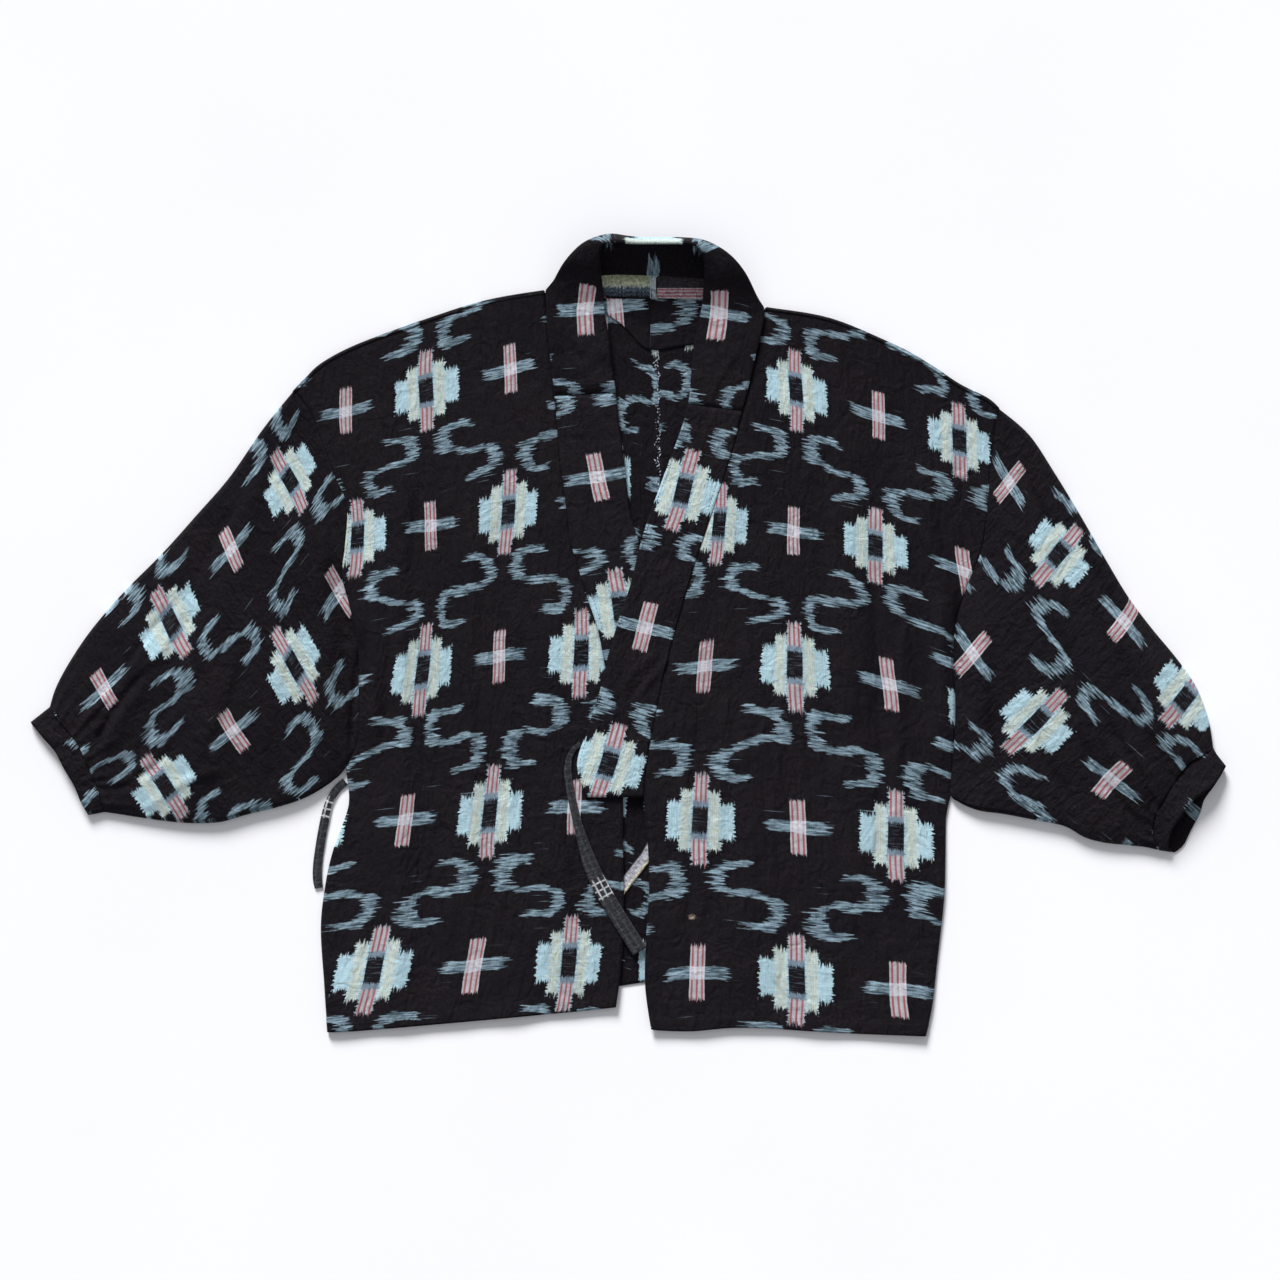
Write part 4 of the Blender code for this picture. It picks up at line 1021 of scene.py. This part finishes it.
def woven(node, shader, cloth, colour, thread=1.7, patchy=0.22, light=None):
    """Weave, wrinkles and uneven wear on a colour, joined to the shader."""
    place_on = node("TexCoord", out=3)
    # Warp and weft cross over and under each other, and each thread has its own shade.
    waves, shades = [], []
    for k in (0, 1):
        line = node("SeparateXYZ", [cloth], out=k)
        waves.append(node("Math SINE", [node("Math MULTIPLY", [line, 2 * math.pi / thread])]))
        shade = {"W": line, "Scale": 0.9, "Detail": 1.0}
        shades.append(node("TexNoise", shade, noise_dimensions="1D"))
    crossing = node("Math MULTIPLY", waves)
    shade = node("Math MULTIPLY_ADD", [node("Math ADD", shades), 0.35, 0.65])
    # A mottle where the dye took less, weaker on the light threads.
    mottle = node("TexNoise", {"Vector": cloth, "Scale": 0.3, "Detail": 4.0, "Roughness": 0.85})
    mottle = node("Math SUBTRACT", [mottle, 0.5])
    depth = MOTTLE
    if light is not None:
        depth = node("Math MULTIPLY_ADD", [light, -MOTTLE_ON_LIGHT, MOTTLE])
    shade = node("Math MULTIPLY_ADD", [mottle, depth, shade])
    wear = node("TexNoise", {"Vector": place_on, "Scale": 16.0, "Detail": 5.0, "Roughness": 0.6})
    wear = node("Math MULTIPLY_ADD", [wear, 2.0, -0.75], use_clamp=True)
    wear = node("Math MULTIPLY", [wear, patchy])
    worn = node("Mix", {0: wear, 6: colour, 7: linear("#33282c")}, **RGBA)
    value = node("Math MULTIPLY_ADD", [crossing, 0.08, shade])
    join(node("HueSaturation", {"Value": value, "Color": worn}), shader, "Base Color")
    # Fine wrinkles run along the warp; the crumple goes every way.
    stretched = node("VectorMath MULTIPLY", [cloth, (0.11, 0.035, 1.0)])
    fine = {"Vector": stretched, "Scale": 1.0, "Detail": 4.0, "Roughness": 0.55, "Distortion": 0.6}
    every_way = {"Vector": place_on, "Scale": 55.0, "Detail": 4.0}
    every_way |= {"Roughness": 0.6, "Distortion": 1.2}
    height = node("Math MULTIPLY", [node("TexNoise", every_way), CRUMPLE])
    height = node("Math MULTIPLY_ADD", [node("TexNoise", fine), WRINKLE, height])
    height = node("Math MULTIPLY_ADD", [crossing, WEAVE, height])
    bump = node("Bump", {"Strength": 1.0, "Distance": BUMP_DISTANCE, "Height": height})
    join(bump, shader, "Normal")


# One small pale-brown stain near the edge of the right front, 8 by 6 mm.
STAIN = ((692 - BOARD_MID[0]) * MM, (BOARD_MID[1] - 917) * MM, 0.0045)
STAIN_SHARPNESS = (240.0, 330.0, 200.0)


def kasuri_cotton():
    """The jacket's cloth: dark cotton with woven motifs and a stain."""
    finish, node, shader, cloth = cotton("kasuri_cotton", 0.52, 0.01)
    colour = node("Group", [cloth], node_tree=KASURI)
    light = colour.node.outputs[1]
    from_stain = node("VectorMath SUBTRACT", [node("TexCoord", out=3), STAIN])
    from_stain = node("VectorMath MULTIPLY", [from_stain, STAIN_SHARPNESS])
    from_stain = node("VectorMath LENGTH", [from_stain], out=1)
    blot = node("TexNoise", {"Vector": cloth, "Scale": 0.5, "Detail": 3.0})
    near_stain = node("Math SUBTRACT", [0.25, from_stain])
    blot = node("Math MULTIPLY_ADD", [blot, 1.6, near_stain], use_clamp=True)
    blot = node("Math MULTIPLY", [blot, 0.75])
    colour = node("Mix", {0: blot, 6: colour, 7: linear("#c9b3a2")}, **RGBA)
    woven(node, shader, cloth, colour, light=light)
    return finish


kasuri_finish = kasuri_cotton()

# %% [markdown]
# ## Scraps and ties
#
# The odds and ends of the jacket come from other cloths: a pale green scrap and a striped one
# behind the neck, and ties cut from a small dark check and from an old pale stripe. Each is a
# few bands by distance across its own cloth map, with the same weave over it.

BOLD_FIRST, BOLD_HALF_PITCH, BOLD_HALF = 26.0, 90.0, 12.0


def banded_cotton(name, across, bands, slip=2.0, end=None, checks=()):
    """Cotton with bands by one cloth direction (0 across, 1 along), and maybe a check."""
    finish, node, shader, cloth = cotton(name, 0.75, 0.02)
    at, other = (node("SeparateXYZ", [cloth], out=k) for k in (across, 1 - across))
    ragged = node("TexNoise", {"W": other, "Scale": 0.6, "Detail": 3.0}, noise_dimensions="1D")
    ragged = node("Math SUBTRACT", [ragged, 0.5])
    span = bands[-1][0]
    share = node("Math DIVIDE", [node("Math MULTIPLY_ADD", [ragged, slip, at]), span])
    colour = node("ValToRGB", [share], ramp=("LINEAR", [(d / span, linear(c)) for d, c in bands]))
    if end:
        past_end = node("Math MULTIPLY_ADD", [ragged, 9.0, other])
        past_end = node("Math MULTIPLY", [node("Math GREATER_THAN", [past_end, end[0]]), 0.8])
        colour = node("Mix", {0: past_end, 6: colour, 7: linear(end[1])}, **RGBA)
    for line, pitch, width, code in checks:
        bold = node("Math ADD", [other, BOLD_FIRST])
        bold = node("Math SUBTRACT", [BOLD_HALF, node("Math PINGPONG", [bold, BOLD_HALF_PITCH])])
        bold = node("Math MULTIPLY", [bold, 0.5], use_clamp=True)
        strength = node("Math MULTIPLY_ADD", [bold, 0.75, 0.03])
        near = node("Math PINGPONG", [at if line == across else other, pitch / 2])
        near = node("Math SUBTRACT", [width, near])
        near = node("Math MULTIPLY_ADD", [near, 1.6, 0.4], use_clamp=True)
        near = node("Math MULTIPLY", [near, strength])
        colour = node("Mix", {0: near, 6: colour, 7: linear(code)}, **RGBA)
    woven(node, shader, cloth, colour, thread=1.3, patchy=0.12)
    return finish


green_finish = banded_cotton("green_scrap_cotton", 1, [
    (0, "#9ea78a"), (6, "#c3cab0"), (8.4, "#c9cfb8"), (9.4, "#8fa0ac"), (10.5, "#43505c"),
    (13, "#6b7c8a"), (14.5, "#2b2e36"), (17, "#56616e"), (18, "#2b2a30"), (20, "#2b2a30"),
], slip=9.0, end=(54, "#c3d0dc"))
red_finish = banded_cotton("red_scrap_cotton", 1, [
    (0, "#3b383d"), (10, "#3d393e"), (10.5, "#cfc9d2"), (11.8, "#a2414e"), (13.4, "#cfc9d2"),
    (15, "#a2414e"), (16.6, "#cfc9d2"), (18.2, "#a2414e"), (20, "#c6c0ca"),
], slip=0.4)
check_finish = banded_cotton("check_tie_cotton", 0, [(0, "#2f3034"), (20, "#36373b")], checks=[
    (0, 6.2, 0.9, "#c9cdd0"), (1, 7.4, 0.9, "#c9cdd0"),
])
pale_finish = banded_cotton("pale_tie_cotton", 0, [
    (0, "#cfc8ae"), (2.2, "#d6cfb6"), (3.2, "#b9bac1"), (10.5, "#a9aab3"), (11.3, "#34333a"),
    (14, "#2d2c31"),
], slip=0.5)
print("finishes:", [m.name for m in bpy.data.materials])

# %% [markdown]
# ## Sew the pieces
#
# Now each piece gets its tables, its cloth map and its finish. The backs take their threads on
# from the shoulder, with a shift that was set by the bits of pattern inside the neck.

# %% Body, sleeves and cuffs
middle_of_neck = NECK_SEAM.index(CENTRE_NECK)
left_neck, right_neck = NECK_SEAM[: middle_of_neck + 1], NECK_SEAM[middle_of_neck:][::-1]
LEFT_BACK, RIGHT_BACK = (62.0, 126.0), (29.0, 0.0)
on_left_cuff = turned_map(66, 742, -48, 0.66, -0.04)
on_right_cuff = turned_map(1184, 806, 38, 0.66, 0.02)
# name, the function that makes it, and its tables and maps
PANELS = [
    ("body_left", body, LEFT_BODY, LEFT_SHOULDER, LEFT_HEM, left_neck, -1,
     on_left_front, LEFT_BACK),
    ("body_right", body, RIGHT_BODY, RIGHT_SHOULDER, RIGHT_HEM, right_neck, 1,
     on_right_front, RIGHT_BACK),
    ("sleeve_left", sleeve, LEFT_SLEEVE, LEFT_BODY, LEFT_CUFF, -1, on_left_sleeve),
    ("sleeve_right", sleeve, RIGHT_SLEEVE, RIGHT_BODY, RIGHT_CUFF, 1, on_right_sleeve),
    ("cuff_left", cuff, LEFT_CUFF, LEFT_CUFF_CROWN, on_left_cuff),
    ("cuff_right", cuff, RIGHT_CUFF, RIGHT_CUFF_CROWN, on_right_cuff),
]
made = {name: make(name, *numbers, kasuri_finish) for name, make, *numbers in PANELS}

# %% Collar and over-collar
OVER_LIFT, OVER_CENTRE, OVER_STRETCH = 0.4, (590, 310), (1.2, 1.085)
NECK_WANDER, WANDER_REACH, WANDER_START = -38.0, 0.45, 0.19
band = band_surface()
first, last = OVER_FIRST * BAND_STEPS, OVER_LAST * BAND_STEPS
left_end, right_end = band[: first + 1], band[last:]
for name, rows, cloth_map in (
    ("collar_left", left_end, turned_map(598, 477, -10.0, 0, 1, 1.2)),
    ("collar_right", right_end, turned_map(645, 627, 15.5, 1, 0, 1.13)),
):
    sheet = (rows, cloth_map(rows[..., 0], rows[..., 1]))
    made[name] = sew(name, [sheet], COLLAR_WALL, kasuri_finish)
over = band[first : last + 1]
over = over + band_normals(over) * OVER_LIFT
for end, inner in ((0, 1), (-1, -2)):
    step = over[inner] - over[end]
    over[end] += step * (TRIM_GAP / np.linalg.norm(step[BAND_COLUMNS // 2]))
over_cloth = band_cloth(over, OVER_CENTRE, 1, *OVER_STRETCH)
# The strip wasn't cut quite straight, so its pattern wanders outwards behind the neck.
way = np.linspace(-1, 1, len(over))[:, None]
over_cloth[..., 0] += NECK_WANDER * (np.exp(-((way / WANDER_REACH) ** 2)) - WANDER_START)
made["over_collar"] = sew("over_collar", [(over, over_cloth)], OVER_COLLAR_WALL, kasuri_finish)


# %% [markdown]
# ## Inside the neck
#
# A facing covers the neck seam on the inside, and two scraps finish the collar's inner edge.
# They lie on the back, thin and flat, with a little waviness.

# %% Facing and scraps
LAID_WAVE = 0.18
# Where the facing's second bit of cloth begins, and how far its pattern is shifted.
FACING_JOIN, FACING_SHIFT = 650, (8, 57)


def laid(name, table, rows, columns, cloth_map, finish):
    """A thin piece inside the jacket, on its back."""
    lines = smooth_line(table, columns)
    v = np.linspace(0, 1, rows + 1)[:, None, None]
    plan = lines[None, :, :2] * (1 - v) + lines[None, :, 2:] * v
    x, y = plan[..., 0], plan[..., 1]
    height = TRIM_TOP + LAID_WAVE * np.sin(x / 4.1 + y / 9) * np.sin(x / 13 + y / 5)
    return sew(name, [(with_height(plan, height), cloth_map(x, y))], TRIM_WALL, finish)


def strip_map(x, y):
    """Across and down a scrap, in millimetres from the neck seam."""
    return np.stack([x - 596, y - 278], axis=-1)


def facing_map(x, y):
    """The facing is pieced: from the middle on, another bit of the repeat follows the cross."""
    at = turned_map(615, 306, -4, 1, 0)(x, y)
    at[x > FACING_JOIN] += FACING_SHIFT
    return at


made["neck_facing"] = laid("neck_facing", NECK_FACING, 24, 8, facing_map, kasuri_finish)
made["neck_strip_left"] = laid("neck_strip_left", LEFT_STRIP, 10, 16, strip_map, green_finish)
made["neck_strip_right"] = laid("neck_strip_right", RIGHT_STRIP, 10, 16, strip_map, red_finish)

# %% [markdown]
# ## Ties
#
# Each tie is a narrow strip with a free end. It lies on what is below it, so the outer tie
# follows the folds of the left front.

# %% Lay the ties
TIE_COLUMNS, TIE_WAVE, TIE_EDGE_DIP, TABLE_GAP = 9, 0.16, 0.25, 0.45


def tie(name, table, wall, height, finish, start=0.0):
    """A flat tie along a table of places and widths, cut from its cloth at a start."""
    line = smooth_line(table, 10)
    ahead = np.gradient(line[:, :2], axis=0)
    ahead = ahead / np.linalg.norm(ahead, axis=1)[:, None]
    aside = np.stack([-ahead[:, 1], ahead[:, 0]], axis=1)
    share = np.linspace(-0.5, 0.5, TIE_COLUMNS)[None]
    plan = line[:, None, :2] + aside[:, None] * (share * line[:, 2:])[..., None]
    along = distances(line[:, :2])[:, None] * np.ones(TIE_COLUMNS)
    z = height(plan[..., 0], plan[..., 1]) + TIE_WAVE * np.sin(along / 3.7 + 9 * share)
    z = z - TIE_EDGE_DIP * (2 * share) ** 4
    across = (share + 0.5) * line[:, 2:]
    sheet = (with_height(plan, z), np.stack([across, along + start], axis=-1))
    return sew(name, [sheet], wall, finish)


def on_front(x, y):
    """The upper face of a tie on the left front."""
    return np.maximum(FRONT_TOP + relief(x, y), LOWEST_TOP) + LAID_GAP + TIE_WALL


SIDE_TIE_START = 122.0
made["tie_outer"] = tie("tie_outer", OUTER_TIE, TIE_WALL, on_front, check_finish)
made["tie_side"] = tie(
    "tie_side", SIDE_TIE, TIE_WALL, lambda x, y: TIE_WALL + TABLE_GAP, check_finish, SIDE_TIE_START,
)
made["tie_inner"] = tie("tie_inner", INNER_TIE, TRIM_WALL, lambda x, y: TRIM_TOP, pale_finish)

# %% [markdown]
# ## Stitches
#
# A noragi is sewn by hand with a plain running stitch, so the stitches are small, dark and a
# little uneven. One Geometry Nodes tree lays them: it resamples a seam line, puts a small
# squashed ball on each point, turns it along the line and varies its size with a fixed seed.
# The line itself is worked out from the same tables as the seams, just above the cloth.

# %% A tree that lays stitches on a line
# The tree's own inputs, and the kind of each.
STITCH_INPUTS = {
    "Line": "Geometry", "Pitch": "Float", "Stitch": "Float", "Thread": "Float", "Uneven": "Float",
    "Slant": "Float", "Seed": "Int", "Finish": "Material",
}


def stitch_tree():
    """Curve in, a row of stitches out."""
    tree = bpy.data.node_groups.new("running_stitch", "GeometryNodeTree")
    for label, kind in STITCH_INPUTS.items():
        tree.interface.new_socket(label, in_out="INPUT", socket_type="NodeSocket" + kind)
    tree.interface.new_socket("Stitches", in_out="OUTPUT", socket_type="NodeSocketGeometry")
    node = partial(add, tree)
    given = node("NodeGroupInput").node.outputs
    points = {"Curve": given["Line"], "Length": given["Pitch"]}
    points = node("GeometryNodeResampleCurve", points, mode="LENGTH")
    ball = node("GeometryNodeMeshUVSphere", {"Segments": 6, "Rings": 5, "Radius": 0.5})
    turned = {"Vector": node("GeometryNodeInputTangent")}
    turned = node("FunctionNodeAlignEulerToVector", turned, axis="X")
    slant = {"Min": (0, 0, -1.0), "Max": (0, 0, 1.0), "Seed": given["Seed"]}
    slant = node("FunctionNodeRandomValue", slant, data_type="FLOAT_VECTOR")
    slant = node("VectorMath SCALE", {0: slant, "Scale": given["Slant"]})
    turned = {"Rotation": turned, "Rotate By": slant}
    turned = node("FunctionNodeRotateEuler", turned, space="LOCAL")
    size = node("CombineXYZ", [given["Stitch"], given["Thread"], given["Thread"]])
    least, most = (node(kind, [1.0, given["Uneven"]]) for kind in ("Math SUBTRACT", "Math ADD"))
    varied = node("FunctionNodeRandomValue", {2: least, 3: most, "Seed": given["Seed"]}, out=1)
    size = node("VectorMath SCALE", {0: size, "Scale": varied})
    laid_out = {"Points": points, "Instance": ball, "Rotation": turned, "Scale": size}
    real = node("GeometryNodeRealizeInstances", [node("GeometryNodeInstanceOnPoints", laid_out)])
    real = node("GeometryNodeSetMaterial", {"Geometry": real, "Material": given["Finish"]})
    node("NodeGroupOutput", [real])
    return tree


STITCHES = stitch_tree()


def stitch(name, lines, finish, pitch, length, thread, uneven=0.2, slant=0.1, seed=1):
    """Stitches along lines of board points, as one plain mesh."""
    curve = bpy.data.curves.new(name + "_line", "CURVE")
    curve.dimensions = "3D"
    for line in lines:
        points = in_metres(np.asarray(line, float))
        spline = curve.splines.new("POLY")
        spline.points.add(len(points) - 1)
        spline.points.foreach_set("co", np.hstack([points, np.ones((len(points), 1))]).ravel())
    guide = bpy.data.objects.new(name + "_line", curve)
    bpy.context.scene.collection.objects.link(guide)
    modifier = guide.modifiers.new("Stitches", "NODES")
    modifier.node_group = STITCHES
    values = (None, pitch * MM, length * MM, thread * MM, uneven, slant, seed, finish)
    values = dict(zip(STITCH_INPUTS, values))
    for item in STITCHES.interface.items_tree:
        if item.in_out == "INPUT" and values[item.name] is not None:
            modifier[item.identifier] = values[item.name]
    shown = guide.evaluated_get(bpy.context.evaluated_depsgraph_get())
    mesh = bpy.data.meshes.new_from_object(shown)
    bpy.data.objects.remove(guide)
    mesh.shade_smooth()
    piece = bpy.data.objects.new(name, mesh)
    bpy.context.scene.collection.objects.link(piece)
    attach(piece, "root")
    print(f"{name}: {len(mesh.polygons)} faces")
    return piece


def thread_finish(name, code):
    """Cotton thread: matt, with a twist of shade along it."""
    finish, node, shader = new_finish(name, {"Roughness": 0.8, "Specular IOR Level": 0.1})
    twist = node("TexNoise", {"Vector": node("TexCoord", out=3), "Scale": 900.0, "Detail": 1.0})
    shade = node("Math MULTIPLY_ADD", [twist, 0.8, 0.6])
    join(node("HueSaturation", {"Value": shade, "Color": linear(code)}), shader, "Base Color")
    return finish


dark_thread = thread_finish("dark_cotton_thread", "#26262c")
white_thread = thread_finish("white_cotton_thread", "#aab2c0")

# %% Sew the seams
# How far stitches lie above a front, and how far inside the front edge and the armhole.
STITCH_LIFT, EDGE_INSET, ARMHOLE_INSET = 0.05, 4.0, 2.2
HEM_STITCH_LIFT, COLLAR_STITCH_LIFT = 0.5, 0.1


def on_body(x_y, side):
    """Board points just above the upper face of a front."""
    x, y = np.asarray(x_y, float).T
    z = np.maximum(FRONT_TOP + relief(x, y) + (lap(x, y) if side > 0 else 0), LOWEST_TOP)
    return np.stack([x, y, z + STITCH_LIFT], axis=1)


def inside(line, distance, toward):
    """A line moved to its side by a distance, towards a board point."""
    ahead = np.gradient(line, axis=0)
    aside = np.stack([-ahead[:, 1], ahead[:, 0]], axis=1) / np.linalg.norm(ahead, axis=1)[:, None]
    middle = len(line) // 2
    return line + aside * distance * np.sign((np.array(toward) - line[middle]) @ aside[middle])


trims = {}
for name, table, hem, side, front_start in (
    ("body_left", LEFT_BODY, LEFT_HEM, -1, 13), ("body_right", RIGHT_BODY, RIGHT_HEM, 1, 12),
):
    lines = smooth_line(table, ALONG_STEPS)
    last = lines[-1]
    hem_line = edge_line(last[:2], last[2:], np.linspace(0.02, 0.98, 60), hem, 1)
    on_hem = on_body(hem_line - (0, HEM_DEPTH - HEM_SLOPE), side) + (0, 0, HEM_STITCH_LIFT)
    # The front edge below the collar is turned in and sewn close to its fold.
    edge_in = inside(lines[front_start * ALONG_STEPS :, 2:], EDGE_INSET, last[:2])
    armhole = inside(lines[: ARMPIT * ALONG_STEPS + 1, :2], ARMHOLE_INSET, (640, 600))[6:-3]
    body_lines = [on_hem, on_body(edge_in, side), on_body(armhole, side)]
    trims[name] = [stitch(name + "_stitches", body_lines, dark_thread, 4.2, 2.4, 0.55, seed=3)]

for name, lines, pitch, length, seed in (
    ("collar_left", [left_end[3:-2, 2], left_end[3:-2, -2]], 3.8, 2.2, 5),
    ("collar_right", [right_end[3:-2, 2], right_end[3:-2, -2]], 3.8, 2.2, 5),
    ("over_collar", [over[2], over[-3]], 3.2, 2.0, 6),
):
    lines = [line + (0, 0, COLLAR_STITCH_LIFT) for line in lines]
    trims[name] = [stitch(name + "_stitches", lines, dark_thread, pitch, length, 0.5, seed=seed)]

# The selvedges of the two backs meet at the centre seam, with white fuzzy threads.
y = np.arange(352, 505, 1.0)
share = (y - CENTRE_NECK[1]) / (CENTRE_HEM[1] - CENTRE_NECK[1])
seam_x = CENTRE_NECK[0] + (CENTRE_HEM[0] - CENTRE_NECK[0]) * share + centre_bow(share)
wobble = 1.9 * np.sin(y / 3.1) + 1.3 * np.sin(y / 1.3 + 2)
selvedges = [
    np.stack([seam_x - offset + sway * wobble, y + down, np.full_like(y, BODY_WALL + lift)], axis=1)
    for offset, sway, down, lift in ((2.2, 1.0, 0.0, 0.2), (0.4, 0.4, 0.7, 0.3))
]
fuzzy = {"uneven": 0.75, "slant": 1.3, "seed": 11}
fuzzy_threads = stitch("selvedge_threads", selvedges, white_thread, 3.4, 2.2, 0.7, **fuzzy)
trims["body_left"].append(fuzzy_threads)

# %% [markdown]
# ## Table, light and camera
#
# The jacket lies on a plain near-white table under a large soft light from above and beyond the
# collar, so its shadows are pale and fall towards the hem. The camera looks straight down.

# %% Table
HALF_TABLE, TABLE_TOP = 3, -0.0002


def table_top():
    """A plain pale surface under the jacket."""
    mesh = bpy.data.meshes.new("table_top")
    ways = ((-1, -1), (1, -1), (1, 1), (-1, 1))
    corners = [(x * HALF_TABLE, y * HALF_TABLE, TABLE_TOP) for x, y in ways]
    mesh.from_pydata(corners, [], [(0, 1, 2, 3)])
    numbers = {"Roughness": 0.9, "Specular IOR Level": 0.2}
    finish, node, shader = new_finish("matt_white_laminate", numbers)
    cloud = node("TexNoise", {"Vector": node("TexCoord", out=3), "Scale": 3.0, "Detail": 2.0})
    colour = node("Mix", {0: cloud, 6: linear("#f2f2f6"), 7: linear("#f6f6fa")}, **RGBA)
    join(colour, shader, "Base Color")
    mesh.materials.append(finish)
    top = bpy.data.objects.new("table_top", mesh)
    bpy.context.scene.collection.objects.link(top)


table_top()


# %% Light and camera
# The sun's height above the horizon, its turn and the width of its disc, in degrees.
SUN_HEIGHT, SUN_TURN, SUN_WIDTH, SUN_STRENGTH = 26, 16, 22, 5.0
lamp = bpy.data.lights.new("soft_box", "SUN")
lamp.energy, lamp.angle = SUN_STRENGTH, math.radians(SUN_WIDTH)
sun = bpy.data.objects.new("soft_box", lamp)
sun.rotation_euler = (math.radians(SUN_HEIGHT - 90), 0, math.radians(SUN_TURN))
bpy.context.scene.collection.objects.link(sun)

world = bpy.data.worlds.new("pale_room")
world.use_nodes = True
world.node_tree.nodes["Background"].inputs["Color"].default_value = (0.96, 0.97, 1.0, 1)
world.node_tree.nodes["Background"].inputs["Strength"].default_value = 0.40
bpy.context.scene.world = world
bpy.context.scene.view_settings.view_transform = "Standard"

CAMERA_HEIGHT, PICTURE_SIDE, SENSOR = 6.0, 1.28, 36
view = bpy.data.cameras.new("camera")
view.sensor_width = SENSOR
view.lens = SENSOR * CAMERA_HEIGHT / PICTURE_SIDE
camera = bpy.data.objects.new("camera", view)
camera.location = (0.0122, -0.004, CAMERA_HEIGHT)
bpy.context.scene.collection.objects.link(camera)
bpy.context.scene.camera = camera

# %% [markdown]
# ## Tie the pieces to the frame
#
# Nothing on the jacket is a joint, so every piece rides on the one body. Each shell stands for
# its solid, which is hidden. The table lists each piece's finish, its flat size, its area and
# what it rests on, but only its names are used here.

CUTS = {
    "body_left": ("kasuri_cotton", (0.36, 1.47), 0.408, ["table_top"]),
    "body_right": ("kasuri_cotton", (0.36, 1.47), 0.405, ["table_top"]),
    "sleeve_left": ("kasuri_cotton", (0.75, 0.37), 0.168, ["table_top"]),
    "sleeve_right": ("kasuri_cotton", (0.76, 0.33), 0.14, ["table_top"]),
    "cuff_left": ("kasuri_cotton", (0.25, 0.023), None, ["table_top"]),
    "cuff_right": ("kasuri_cotton", (0.26, 0.0285), None, ["table_top"]),
    "collar_left": ("kasuri_cotton", (0.061, 0.40), None, ["body_left"]),
    "collar_right": ("kasuri_cotton", (0.058, 0.41), None, ["body_right"]),
    "over_collar": ("kasuri_cotton", (0.062, 0.52), 0.028, ["body_left", "body_right"]),
    "neck_facing": ("kasuri_cotton", (0.124, 0.052), 0.0046, ["body_left", "body_right"]),
    "neck_strip_left": ("green_scrap_cotton", (0.06, 0.0245), None, ["body_left"]),
    "neck_strip_right": ("red_scrap_cotton", (0.054, 0.024), None, ["body_right"]),
    "tie_outer": ("check_tie_cotton", (0.012, 0.24), None, ["body_left"]),
    "tie_side": ("check_tie_cotton", (0.010, 0.12), None, ["table_top"]),
    "tie_inner": ("pale_tie_cotton", (0.012, 0.14), None, ["body_left", "body_right"]),
}
for name, (slot, flat, area, rests_on) in CUTS.items():
    piece = made[name]
    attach(piece, "root")
    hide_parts(name)
print("declared:", len(CUTS), "sheets of cloth")
